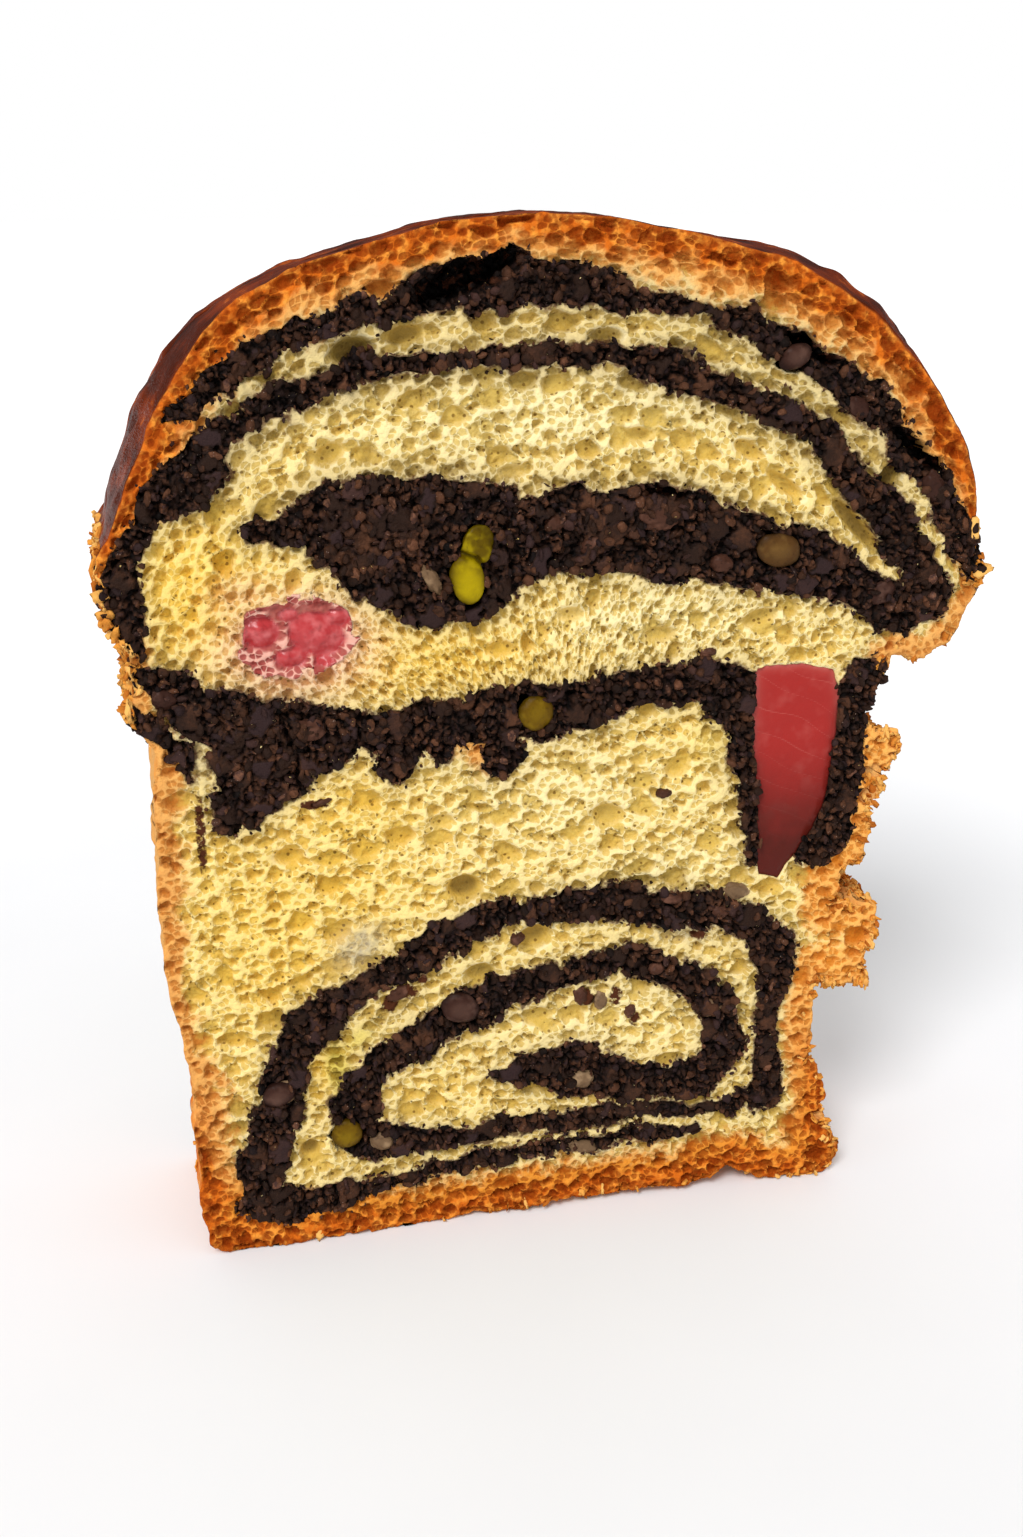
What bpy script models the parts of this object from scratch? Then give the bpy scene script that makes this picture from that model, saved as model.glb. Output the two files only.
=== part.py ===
"""Walnut cocoa sweet bread: one upright slice of a rolled loaf, with its cocoa layers, sweets and fruit.

The slice is drawn on its cut face: X runs to the right along the face, Z up from the table, and Y into
the depth of the slice. Face sizes are in millimetres, measured from the middle of the loaf's base.
"""

import math

import bmesh
import bpy
from mathutils import Vector

MM = 0.001

# Driving dimensions, in millimetres.
BASE_WIDTH = 90.0
HEIGHT = 136.9
THICKNESS = 26.0
GAP = 0.3
LEFT_REACH = -54.7
RIGHT_REACH = 60.3
CENTRE_X = (LEFT_REACH + RIGHT_REACH) / 2

# How far the glossy dome stands out behind the cut rim on each side, and how far from the dome's
# middle that starts and is full.
LEFT_BULGE = 1.4
LEFT_SHOULDER = (30.0, 50.0)
RIGHT_BULGE = 3.0
RIGHT_SHOULDER = (14.0, 40.0)
DOME_RISE = (97.0, 106.0)
DOME_CENTRE = (3.0, 88.0)
# How far the crown falls away towards the back, and how far left of the loaf's middle the fall starts,
# is full, begins to fade and ends.
CROWN_FALL = 1.6
FALL_GROWS = (-20.0, 15.0)
FALL_FADES = (34.0, 46.0)
# The torn right side is this much thinner through the depth, right of TORN_FROM and under TORN_TOP,
# and wavers by a share of it, with waves given in radians for each millimetre.
TORN_DEPTH = 1.6
TORN_WAVER = 0.4
WAVE_BY_DEPTH = 0.45
WAVE_BY_HEIGHT = 0.31
TORN_FROM = 43.5
TORN_TOP = 78.0
DEPTH_CUTS = (-9.0, -3.5, 3.5, 9.0)

# Points nearer than this are one point, in a flat outline and after the cuts.
OUTLINE_WELD = 0.01
CUT_WELD = 0.02
ON_PLANE = 0.001
# A grown outline's sharp corner reaches out no further than its growth over this.
SHARPEST_CORNER = 0.6

HALF = THICKNESS / 2
CUT_REACH = 4.0
SCRAP_VOLUME = 120.0
BASE_HALF = BASE_WIDTH / 2

# The cut face's edge, clockwise from the crown of the dome.
OUTLINE = [
    (0, HEIGHT), (8, 136.3), (16, 134.8), (24, 133), (32, 130.6), (38, 127.4), (44, 123.2),
    (49, 118.3), (53, 113), (56, 108.5), (58.4, 103), (59, 98), (RIGHT_REACH, 91), (59.3, 86.3),
    (57, 82), (53.4, 79), (48.7, 80), (48.2, 77.3), (46.8, 75), (46.5, 70), (50, 69), (50.7, 66),
    (48.8, 63), (47.6, 57.8), (46.8, 51.5), (43.2, 48), (42.3, 44.4), (45.2, 43.2), (48.1, 44),
    (50.2, 40.3), (48.1, 34), (48.7, 29.8), (45.6, 31.3), (43.1, 31), (41, 32.8), (40.2, 29.4),
    (40.5, 20), (42.3, 17.8), (43.3, 11), (BASE_HALF, 5.7), (46.4, 2.1), (44.4, 0), (36.5, 0),
    (33.8, 0.5), (31, 1.6), (28.5, 3.2), (26, 1.4), (22, 0.9), (12, 1), (0, 0.5), (-14, 0.1), (-27, 0),
    (0.5 - BASE_HALF, 0), (-46.2, 1.6), (-47.6, 6), (-46.8, 14), (-47.9, 19), (-46.9, 23),
    (-47.5, 29.5), (-49.8, 41.5), (-50, 54), (-49.5, 68.6), (-48.6, 72), (-51.8, 79.3),
    (-51, 82), (-51.8, 84), (-51.3, 87), (-53.6, 90), (LEFT_REACH, 93.8), (-54, 98.4),
    (-52.6, 100.3), (-51, 104), (-48.3, 110), (-46.2, 115), (-43.7, 119), (-40, 124.2),
    (-36, 127.6), (-30, 130.8), (-22, 133.1), (-12, 135.9),
]

# Cocoa layers as strips: middle line x, z and half width along it.
TOP_RUN = [
    (-44.8, 114.1, 0.3), (-42.6, 115.6, 1.1), (-38.2, 119.8, 1.6), (-31, 123.4, 1.3),
    (-24, 125.1, 1.2), (-16, 127.1, 1.4), (-10, 128.7, 2.5), (-4, 129.7, 3.2), (2, 128.6, 2.2),
    (8, 127.9, 1.8), (14, 126.7, 1.1), (20, 125.6, 0.9), (26, 123.6, 1.3), (32, 120.5, 2.0),
    (37, 118, 1.9), (42, 114, 2.1), (46.5, 110.1, 1.6), (50.2, 106.1, 2.0), (53.4, 101.5, 2.3),
    (55.8, 97.6, 1.9), (57.8, 94, 2.0), (60, 91.9, 2.5), (62.6, 90.6, 2.7),
]
FOLD_UPPER_RUN = [
    (-49.4, 87, 0.6), (-50.3, 88.6, 1.6), (-51.4, 91, 2.3), (-52, 95, 2.4), (-50.5, 98.6, 1.2),
    (-48.7, 101.6, 1.0), (-45.4, 105.2, 2.2), (-42, 108.2, 3.7), (-38.6, 112.2, 1.9),
    (-34, 115, 1.6), (-29, 117.1, 1.3), (-23, 118.5, 1.1), (-16, 119.9, 1.0), (-8, 120.5, 1.0),
    (0, 120.4, 1.1), (8, 120.3, 0.9), (14, 118.9, 1.6), (20, 116.7, 1.6), (26, 114.9, 1.6),
    (31.5, 112.6, 1.5), (36.5, 109.1, 1.7), (40.8, 105.2, 2.0), (44.4, 101.2, 2.2),
    (47.2, 98.1, 2.3), (49.6, 94.6, 2.5), (51.6, 91.3, 2.8), (52.5, 88.2, 3.1), (51.6, 85.3, 2.9),
]
FOLD_LOWER_RUN = [
    (-36.4, 100.2, 0.3), (-31.2, 101, 2.1), (-26.4, 101.2, 5.0), (-20.6, 99.6, 6.9),
    (-14, 97, 9.3), (-8, 97.4, 8.6), (-2.6, 98.6, 5.6), (3, 98.9, 5.2), (9, 98, 4.6),
    (14.4, 98.4, 5.7), (20, 97.3, 5.5), (25, 95.7, 4.9), (30, 94.2, 4.3), (35, 93.4, 4.1),
    (40, 91.5, 3.3), (44, 89.4, 2.7), (47.6, 86.6, 2.7), (51.6, 84.9, 2.9),
]
MIDDLE_RUN = [
    (-54, 83.9, 0.9), (-50, 83.5, 1.3), (-46.4, 82, 2.4), (-43, 79, 3.0), (-38, 75.4, 4.4),
    (-32, 74.5, 4.7), (-27, 74, 3.9), (-22, 74.4, 1.9), (-16, 74, 2.8), (-10, 74.5, 3.1),
    (-4, 75, 3.4), (1, 75.8, 3.7), (7, 75.9, 3.1), (12, 77.1, 2.4), (18, 78.1, 2.3),
    (23.4, 78.4, 3.0), (26.8, 76.2, 3.4), (27.3, 72, 2.2), (28.2, 66, 1.6), (29.2, 60, 1.4),
    (30, 55, 1.1), (30.5, 51, 0.5),
]
STREAK_RUN = [
    (-54, 80.6, 0.8), (-50.6, 78.6, 1.2), (-47.4, 75.8, 1.3), (-45.3, 72.4, 1.2), (-44.8, 69, 0.4),
]
RIGHT_RUN = [
    (46.7, 79.7, 1.1), (45.7, 78, 3.1), (44.6, 75, 3.4), (43.6, 71, 2.9), (43.4, 66, 2.4),
    (43, 61.5, 2.3), (42.2, 57, 2.7), (41.4, 54, 2.9), (39.4, 52.1, 2.3), (37.2, 50.9, 0.9),
]
SPIRAL_RUN = [
    (-7, 23.5, 0.4), (-3, 23, 1.6), (0, 22.2, 3), (5, 22, 3.9), (10, 21, 3.7), (15, 19, 3),
    (20, 18.3, 2.6), (24.5, 18.9, 3.1), (27, 22.4, 2.9), (26.9, 27, 2.9), (25, 31.3, 2.9),
    (21.5, 35, 2.4), (16, 37, 2.2), (10, 38, 1.7), (5, 37.5, 1.3), (0, 36.5, 1.6),
    (-4, 35.5, 2), (-10, 33.5, 3.2), (-15, 31, 2.6), (-20, 28, 2.7), (-23.5, 24.5, 2.9),
    (-25.8, 20, 3.4), (-26, 16.2, 3.2), (-22.5, 14.4, 2.4), (-17, 13.7, 1.8), (-10, 13.5, 1.2),
    (-4, 14.3, 0.9), (2, 14.2, 0.9), (8, 14.3, 1.3), (14, 14, 1), (20, 13.8, 0.8),
    (26, 13.5, 0.7), (30.6, 13.4, 1.6), (33.7, 13.9, 2.2), (34.1, 19, 1.7), (33.9, 25, 1.7),
    (34.1, 30, 1.4), (35, 34, 2.2), (34.3, 38, 2.8), (31.3, 41, 2.3), (27, 43.3, 2.4),
    (21, 45.6, 2.2), (15, 46.2, 2.7), (9, 47.2, 2.2), (3, 47.9, 1.6), (-3, 47.4, 1.8),
    (-9, 45.7, 2.2), (-15, 43, 2.1), (-21, 40, 1.9), (-26, 37, 2.2), (-31, 33.6, 2.7),
    (-33.8, 28.8, 2.7), (-35.7, 23, 2.7), (-37.5, 17, 2.7), (-39, 11, 2.9), (-39.4, 6.8, 2.9),
    (-35.6, 5.9, 2.6), (-30, 6.5, 2.1), (-24, 7.5, 1.3), (-17, 8.3, 1.1), (-10, 9.5, 1),
    (-3, 10.1, 0.9), (4, 10, 1.1), (10, 10.2, 0.9), (16, 9.9, 1), (21, 9.8, 0.8), (23, 10, 0.3),
]

# Cocoa lumps that hang under the middle layer: centre x, z and radius.
MIDDLE_DRIPS = [
    (-36, 71.6, 6.5), (-38.9, 66.4, 3.7), (-18.9, 70, 2.2), (-13, 71, 1.7), (-5.3, 69.4, 2.6),
]
DRIP_SIDES = 14

# The two jellied sweets, as closed outlines.
RIGHT_SWEET = [
    (29.6, 79), (36, 79.3), (40.2, 78.2), (41.4, 74.8), (41.2, 69.8), (40.9, 64), (40.1, 59),
    (38.8, 55.6), (36.4, 52), (34, 48.6), (31.4, 49.4), (31.2, 54.8), (30.7, 60), (29.9, 66.5),
    (29.3, 72.7),
]
LEFT_SWEET = [
    (-38, 85), (-36, 82.9), (-30, 82.5), (-25.4, 83.6), (-23.8, 87), (-24.4, 90.6), (-28, 91.8),
    (-33, 91.5), (-37, 90.7), (-38.3, 88),
]

# Fruit and nuts that the knife opened: name, lobes as centre x, z, half sizes x, depth, z and lean.
FRUIT = {
    "pistachio_split": [(-8.1, 97.7, 2.1, 3.2, 2.7, 20), (-9.4, 93.4, 2.2, 3.4, 3.3, -12)],
    "pistachio_middle": [(-0.5, 75.3, 2.5, 2.9, 2.4, 0)],
    "pistachio_lower": [(-27, 16.3, 2.3, 2.6, 2.2, 0)],
    "sultana": [(31.5, 95, 3.2, 3.0, 2.3, 10)],
    "raisin_upper": [(32.3, 119.4, 2.4, 2.6, 1.5, -30)],
    "raisin_inner": [(-11, 33.8, 2.9, 2.8, 2.2, 25)],
    "raisin_left": [(-36, 23.7, 1.8, 2.4, 2.4, 75)],
}
FRUIT_SEGMENTS = 12
FRUIT_RINGS = 8

# Colour, roughness, as seen on the slice.
FINISHES = {
    "crumb": ((0.80, 0.64, 0.30), 0.85),
    "cocoa": ((0.030, 0.014, 0.010), 0.75),
    "sweet": ((0.50, 0.065, 0.090), 0.35),
    "pistachio": ((0.33, 0.32, 0.035), 0.5),
    "raisin": ((0.075, 0.030, 0.018), 0.5),
    "sultana": ((0.20, 0.12, 0.03), 0.45),
}


def clear_scene():
    """Remove what the scene starts with."""
    for obj in list(bpy.data.objects):
        bpy.data.objects.remove(obj, do_unlink=True)


def new_collection(name):
    """A collection of this name, linked to the scene."""
    collection = bpy.data.collections.new(name)
    bpy.context.scene.collection.children.link(collection)
    return collection


def finish_of(name):
    """The named finish as a Principled material."""
    material = bpy.data.materials.get(name)
    if material is None:
        colour, roughness = FINISHES[name]
        material = bpy.data.materials.new(name)
        material.use_nodes = True
        shader = material.node_tree.nodes["Principled BSDF"]
        shader.inputs["Base Color"].default_value = (*colour, 1)
        shader.inputs["Roughness"].default_value = roughness
        shader.inputs["Metallic"].default_value = 0
    return material


def spread(outline, distance):
    """A closed clockwise outline moved outwards by a distance."""
    moved = []
    count = len(outline)
    for index, point in enumerate(outline):
        before = Vector(outline[index - 1])
        here = Vector(point)
        after = Vector(outline[(index + 1) % count])
        first = (here - before).normalized()
        second = (after - here).normalized()
        normal = Vector((-first.y - second.y, first.x + second.x)).normalized()
        reach = distance / max(SHARPEST_CORNER, normal.dot(Vector((-first.y, first.x))))
        moved.append(tuple(here + normal * reach))
    return moved


def strip(run, growth):
    """The closed outline of a strip along its middle line, wider and longer by the growth."""
    middles = [Vector(point[:2]) for point in run]
    widths = [point[2] + growth for point in run]
    start = (middles[0] - middles[1]).normalized()
    finish = (middles[-1] - middles[-2]).normalized()
    middles[0] = middles[0] + start * growth
    middles[-1] = middles[-1] + finish * growth
    left = []
    right = []
    last = len(middles) - 1
    for index, middle in enumerate(middles):
        along = (middles[min(index + 1, last)] - middles[max(index - 1, 0)]).normalized()
        across = Vector((-along.y, along.x)) * widths[index]
        left.append(tuple(middle + across))
        right.append(tuple(middle - across))
    return left + right[::-1]


def ring(x, z, radius):
    """A round outline."""
    angles = [math.tau * step / DRIP_SIDES for step in range(DRIP_SIDES)]
    return [(x + radius * math.cos(angle), z + radius * math.sin(angle)) for angle in angles]


def curve_to_mesh(curve_object, collection):
    """The curve as a mesh object with welded caps; the curve itself is removed."""
    bpy.context.view_layer.update()
    graph = bpy.context.evaluated_depsgraph_get()
    mesh = bpy.data.meshes.new_from_object(curve_object.evaluated_get(graph))
    edit = bmesh.new()
    edit.from_mesh(mesh)
    bmesh.ops.remove_doubles(edit, verts=edit.verts, dist=OUTLINE_WELD * MM)
    edit.to_mesh(mesh)
    edit.free()
    mesh.transform(curve_object.matrix_world)
    name = curve_object.name
    bpy.data.objects.remove(curve_object, do_unlink=True)
    result = bpy.data.objects.new(name, mesh)
    collection.objects.link(result)
    return result


def prism(name, outline, half_depth, collection):
    """An outline on the cut face, taken through the depth on both sides of the middle plane."""
    curve = bpy.data.curves.new(name, "CURVE")
    curve.dimensions = "2D"
    curve.fill_mode = "BOTH"
    curve.extrude = half_depth * MM
    spline = curve.splines.new("POLY")
    spline.points.add(len(outline) - 1)
    for point, (x, z) in zip(spline.points, outline):
        point.co = (x * MM, z * MM, 0, 1)
    spline.use_cyclic_u = True
    source = bpy.data.objects.new(name, curve)
    source.rotation_euler = (math.radians(90), 0, 0)
    collection.objects.link(source)
    return curve_to_mesh(source, collection)


def lobe(name, shape, growth, collection):
    """One egg-shaped lobe of a fruit, centred on the front face."""
    x, z, half_x, half_y, half_z, lean = shape
    edit = bmesh.new()
    bmesh.ops.create_uvsphere(edit, u_segments=FRUIT_SEGMENTS, v_segments=FRUIT_RINGS, radius=1)
    mesh = bpy.data.meshes.new(name)
    edit.to_mesh(mesh)
    edit.free()
    result = bpy.data.objects.new(name, mesh)
    collection.objects.link(result)
    result.scale = [(size + growth) * MM for size in (half_x, half_y, half_z)]
    result.rotation_euler = (0, math.radians(lean), 0)
    result.location = (x * MM, -HALF * MM, z * MM)
    bpy.context.view_layer.update()
    mesh.transform(result.matrix_world)
    result.scale = (1, 1, 1)
    result.rotation_euler = (0, 0, 0)
    result.location = (0, 0, 0)
    return result


def combine(target, others, operation):
    """Join, cut or intersect the target with each of the other meshes, one after another."""
    for other in others:
        boolean = target.modifiers.new("boolean", "BOOLEAN")
        boolean.operation = operation
        boolean.solver = "EXACT"
        boolean.object = other
        bpy.context.view_layer.update()
        graph = bpy.context.evaluated_depsgraph_get()
        result = bpy.data.meshes.new_from_object(target.evaluated_get(graph))
        target.modifiers.remove(boolean)
        target.data = result
    return target


def joined(name, parts):
    """One mesh that is the union of several overlapping ones, under a new name."""
    first = combine(parts[0], parts[1:], "UNION")
    for part in parts[1:]:
        bpy.data.objects.remove(part, do_unlink=True)
    first.name = name
    return first


def smooth_step(value, low, high):
    """0 under low, 1 over high, and an even rise between."""
    share = min(1.0, max(0.0, (value - low) / (high - low)))
    return share * share * (3 - 2 * share)


def outward_shift(x, depth, z):
    """How far a point of the slice's outer side moves behind the cut rim, in millimetres."""
    fullness = 1 - (depth / HALF) ** 2
    away = Vector((x - DOME_CENTRE[0], z - DOME_CENTRE[1])).normalized()
    left = LEFT_BULGE * smooth_step(DOME_CENTRE[0] - x, *LEFT_SHOULDER)
    right = RIGHT_BULGE * smooth_step(x - DOME_CENTRE[0], *RIGHT_SHOULDER)
    fall = CROWN_FALL * smooth_step(-x, *FALL_GROWS) * (1 - smooth_step(-x, *FALL_FADES))
    behind = (depth + HALF) / THICKNESS
    shift = away * ((left + right) * fullness - fall * behind) * smooth_step(z, *DOME_RISE)
    if x > TORN_FROM and z < TORN_TOP:
        wave = math.sin(WAVE_BY_DEPTH * depth + WAVE_BY_HEIGHT * z)
        shift.x -= TORN_DEPTH * fullness * (1 - TORN_WAVER + TORN_WAVER * wave)
    return shift


def slice_body(collection):
    """The whole slice before its layers are cut: the outline, with the dome full behind its rim."""
    body = prism("slice_body", OUTLINE, HALF, collection)
    edit = bmesh.new()
    edit.from_mesh(body.data)
    for depth in DEPTH_CUTS:
        geometry = list(edit.verts) + list(edit.edges) + list(edit.faces)
        bmesh.ops.bisect_plane(
            edit, geom=geometry, plane_co=(0, depth * MM, 0), plane_no=(0, 1, 0), dist=ON_PLANE * MM
        )
    for vert in edit.verts:
        x, y, z = (value / MM for value in vert.co)
        shift = outward_shift(x, y, z)
        vert.co.x += shift.x * MM
        vert.co.z += shift.y * MM
    bmesh.ops.recalc_face_normals(edit, faces=edit.faces)
    edit.to_mesh(body.data)
    edit.free()
    return body


def layer_shape(name, runs, drips, growth, collection):
    """A cocoa layer, longer than the slice is deep: its strips and its lumps joined."""
    reach = HALF + CUT_REACH
    parts = [prism(name, strip(run, growth), reach, collection) for run in runs]
    parts += [prism(name, ring(x, z, radius + growth), reach, collection) for x, z, radius in drips]
    return joined(name, parts)


LAYERS = {
    "cocoa_top": ([TOP_RUN], []),
    "cocoa_fold": ([FOLD_UPPER_RUN, FOLD_LOWER_RUN], []),
    "cocoa_middle": ([MIDDLE_RUN], MIDDLE_DRIPS),
    "cocoa_streak": ([STREAK_RUN], []),
    "cocoa_right": ([RIGHT_RUN], []),
    "cocoa_spiral": ([SPIRAL_RUN], []),
}
SWEETS = {"delight_right": RIGHT_SWEET, "delight_left": LEFT_SWEET}
# Which layer each fruit sits in, and which layers a sweet touches.
HOLDERS = {
    "cocoa_top": ["raisin_upper"],
    "cocoa_fold": ["pistachio_split", "sultana"],
    "cocoa_middle": ["pistachio_middle", "delight_right"],
    "cocoa_right": ["delight_right"],
    "cocoa_spiral": ["pistachio_lower", "raisin_inner", "raisin_left"],
}


def fruit_finish(name):
    """The finish that a fruit's name stands for."""
    return name.split("_")[0]


def is_clockwise(outline):
    """True where the outline runs clockwise."""
    following = outline[1:] + outline[:1]
    return sum(x0 * z1 - x1 * z0 for (x0, z0), (x1, z1) in zip(outline, following)) < 0


def sweet_shape(name, growth, collection):
    """One jellied sweet as a bar through the depth, grown where it is a cutter."""
    outline = SWEETS[name]
    if not is_clockwise(outline):
        outline = outline[::-1]
    depth = HALF + CUT_REACH if growth else HALF
    return prism(name, spread(outline, growth) if growth else outline, depth, collection)


def fruit_shape(name, growth, collection):
    """One fruit from its lobes, grown where it is a cutter."""
    lobes = [lobe(name, shape, growth, collection) for shape in FRUIT[name]]
    return joined(name, lobes)


def volume_of(edit):
    """The volume of an edit mesh in cubic millimetres."""
    return edit.calc_volume() / MM ** 3


def loose_bodies(mesh):
    """The separate bodies of a mesh, each as its own edit mesh."""
    edit = bmesh.new()
    edit.from_mesh(mesh)
    waiting = set(edit.verts)
    groups = []
    while waiting:
        stack = [waiting.pop()]
        group = set(stack)
        while stack:
            vert = stack.pop()
            for edge in vert.link_edges:
                other = edge.other_vert(vert)
                if other in waiting:
                    waiting.discard(other)
                    group.add(other)
                    stack.append(other)
        groups.append({vert.index for vert in group})
    edit.free()
    bodies = []
    for group in groups:
        body = bmesh.new()
        body.from_mesh(mesh)
        others = [vert for vert in body.verts if vert.index not in group]
        bmesh.ops.delete(body, geom=others, context="VERTS")
        bodies.append(body)
    return bodies


def clean_mesh(mesh):
    """Merge what a cut left doubled, and drop scraps that hang on nothing."""
    edit = bmesh.new()
    edit.from_mesh(mesh)
    bmesh.ops.remove_doubles(edit, verts=edit.verts, dist=CUT_WELD * MM)
    bmesh.ops.dissolve_degenerate(edit, edges=edit.edges, dist=OUTLINE_WELD * MM)
    edit.to_mesh(mesh)
    edit.free()


def keep_largest(target):
    """Keep the largest body of an object's mesh."""
    bodies = loose_bodies(target.data)
    bodies.sort(key=volume_of, reverse=True)
    bodies[0].to_mesh(target.data)
    for body in bodies:
        body.free()


def add_part(obj, finish, root, collection):
    """Place a finished piece under the root, with its own finish."""
    for owner in list(obj.users_collection):
        owner.objects.unlink(obj)
    collection.objects.link(obj)
    obj.data.materials.clear()
    obj.data.materials.append(finish_of(finish))
    obj.parent = root


def split_dough(dough, root, parts):
    """The dough above the middle layer and the dough below it, as two objects."""
    bodies = [body for body in loose_bodies(dough.data) if volume_of(body) > SCRAP_VOLUME]
    bodies.sort(key=volume_of, reverse=True)
    bodies = bodies[:2]
    bodies.sort(key=lambda body: max(vert.co.z for vert in body.verts), reverse=True)
    for name, body in zip(("upper_dough", "lower_dough"), bodies):
        mesh = bpy.data.meshes.new(name)
        body.to_mesh(mesh)
        piece = bpy.data.objects.new(name, mesh)
        parts.objects.link(piece)
        add_part(piece, "crumb", root, parts)
    bpy.data.objects.remove(dough, do_unlink=True)


def build():
    """Make the slice: the fruit and sweets first, the cocoa round them, then the dough round all."""
    clear_scene()
    parts = new_collection("walnut_cocoa_sweet_bread")
    cutters = new_collection("cutters")
    root = bpy.data.objects.new("slice_root", None)
    root.location.x = -CENTRE_X * MM
    parts.objects.link(root)

    body = slice_body(cutters)
    pockets = {name: fruit_shape(name, GAP, cutters) for name in FRUIT}
    pockets.update({name: sweet_shape(name, GAP, cutters) for name in SWEETS})
    beds = {name: layer_shape(name, runs, drips, GAP, cutters) for name, (runs, drips) in LAYERS.items()}
    for key, cutter in list(pockets.items()) + list(beds.items()):
        cutter.name = key + "_cutter"

    for name in FRUIT:
        fruit = combine(fruit_shape(name, 0, cutters), [body], "INTERSECT")
        clean_mesh(fruit.data)
        fruit.name = name
        add_part(fruit, fruit_finish(name), root, parts)
    for name in SWEETS:
        sweet = sweet_shape(name, 0, cutters)
        sweet.name = name
        add_part(sweet, "sweet", root, parts)
    for name, (runs, drips) in LAYERS.items():
        layer = layer_shape(name, runs, drips, 0, cutters)
        combine(layer, [body], "INTERSECT")
        combine(layer, [pockets[held] for held in HOLDERS.get(name, [])], "DIFFERENCE")
        clean_mesh(layer.data)
        keep_largest(layer)
        layer.name = name
        add_part(layer, "cocoa", root, parts)

    combine(body, list(beds.values()) + list(pockets.values()), "DIFFERENCE")
    clean_mesh(body.data)
    split_dough(body, root, parts)
    for cutter in cutters.objects:
        cutter.hide_render = True
        cutter.display_type = "WIRE"


build()
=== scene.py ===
"""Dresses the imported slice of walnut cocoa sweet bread: crumb, baked crust, cocoa filling, jelly and fruit.

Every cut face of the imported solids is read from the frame, drawn again as a fine sheet of cells, and sunk
into pores, broken into grains or smoothed into jelly. Lengths are in millimetres on the cut face, with X
from the middle of the loaf's base and Z from the table, until a mesh is written in metres.
"""

import logging
import math
from dataclasses import dataclass, field
from enum import Enum
from typing import Optional, Sequence, Union

import bmesh
import bpy
import numpy as np
from mathutils import Matrix, Vector, noise as smooth_noise

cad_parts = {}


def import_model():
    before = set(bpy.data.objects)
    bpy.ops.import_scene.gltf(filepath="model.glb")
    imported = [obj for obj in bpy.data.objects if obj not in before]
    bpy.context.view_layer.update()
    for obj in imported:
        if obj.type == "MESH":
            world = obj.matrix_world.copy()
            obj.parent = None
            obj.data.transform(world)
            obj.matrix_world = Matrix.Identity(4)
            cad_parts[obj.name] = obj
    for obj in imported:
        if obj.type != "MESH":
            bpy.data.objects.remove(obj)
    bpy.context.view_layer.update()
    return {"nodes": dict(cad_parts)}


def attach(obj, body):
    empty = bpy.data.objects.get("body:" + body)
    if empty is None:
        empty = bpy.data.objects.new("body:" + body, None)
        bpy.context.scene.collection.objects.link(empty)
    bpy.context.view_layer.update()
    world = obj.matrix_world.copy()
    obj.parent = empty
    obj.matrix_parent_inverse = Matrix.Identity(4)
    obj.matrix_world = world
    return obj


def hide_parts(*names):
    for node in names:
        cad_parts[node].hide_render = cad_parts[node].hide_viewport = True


LOG = logging.getLogger("sweet_bread")

MM = 0.001
BODY = "root"

# The middle of the loaf's base stands this far left of the frame's origin, in millimetres.
FACE_SHIFT = 2.8
HALF_DEPTH = 13.0
CAP_TOLERANCE = 0.02

# The full dome behind its cut rim, its crown's fall to the back and the torn right side, as the solids
# have them.
LEFT_BULGE = 1.4
LEFT_SHOULDER = (30.0, 50.0)
RIGHT_BULGE = 3.0
RIGHT_SHOULDER = (14.0, 40.0)
DOME_RISE = (97.0, 106.0)
DOME_CENTRE = (3.0, 88.0)
CROWN_FALL = 1.6
FALL_GROWS = (-20.0, 15.0)
FALL_FADES = (34.0, 46.0)
TORN_DEPTH = 1.6
TORN_WAVER = 0.4
WAVE_BY_DEPTH = 0.45
WAVE_BY_HEIGHT = 0.31
TORN_FROM = 43.5
TORN_TOP = 78.0

FRONT_CELL = 0.265
BACK_CELL = 0.40

# Shares of the way from the cut face to the middle plane. Walls between pieces have only the inner ones.
INNER_LEVELS = (0.16, 1.0)
OUTER_LEVELS = (0.04, 0.09, 0.16, 0.25, 0.36, 0.48, 0.61, 0.74, 0.87, 1.0)
OUTER_EDGE = 0.30

# Torn edges: reach, wave length and seed of each shift, and the share of it at the outer rim.
RAGGED = ((0.70, 4.6, 11), (0.80, 2.1, 13), (0.34, 0.95, 15))
RAGGED_ROOM = 2.0
DOME_RAGGED = 0.18
SIDE_RAGGED = 0.42
TORN_RAGGED = 0.9
# Where the torn right side, the dome's foot and the calm edge round the firm sweet begin and end.
TORN_REACH = (36.0, 43.0)
TORN_HEIGHT = (76.0, 82.0)
DOME_FOOT = (92.0, 98.0)
INLAND = (0.0, 2.5)
CALM_REACH = (0.4, 3.0)
CALM_SHARE = 0.2
# Shares of the depth over which the outer side loses the cut's ragged edge and gains its own roughness.
RAGGED_FADES = (0.0, 0.3)
ROUGH_GROWS = (0.0, 0.12)
# How rough the outer side is through the depth, in millimetres, and how far it is drawn in.
SKIN_ROUGH = 0.2
SIDE_ROUGH = 0.42
TORN_ROUGH = 1.6
WALL_TUCK = 0.9
# How far out along X the walls' inward tuck is full.
TUCK_REACH = 20.0
# The walls' roughness: share, wave length and seed of each wave, the shares of X and Z that it runs along, and
# how much it slants through the slice.
ROUGH_WAVES = ((1.0, 3.6, 31), (0.6, 1.7, 32))
ROUGH_ALONG = (0.6, 0.8)
ROUGH_SLANT = 0.1
# The waves of the outer side's bulge: length, seed, and how much they slant through the slice.
BULGE_WAVE = 4.0
BULGE_SEED = 21
BULGE_SLANT = 1.3
CHUNK = 4000
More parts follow.
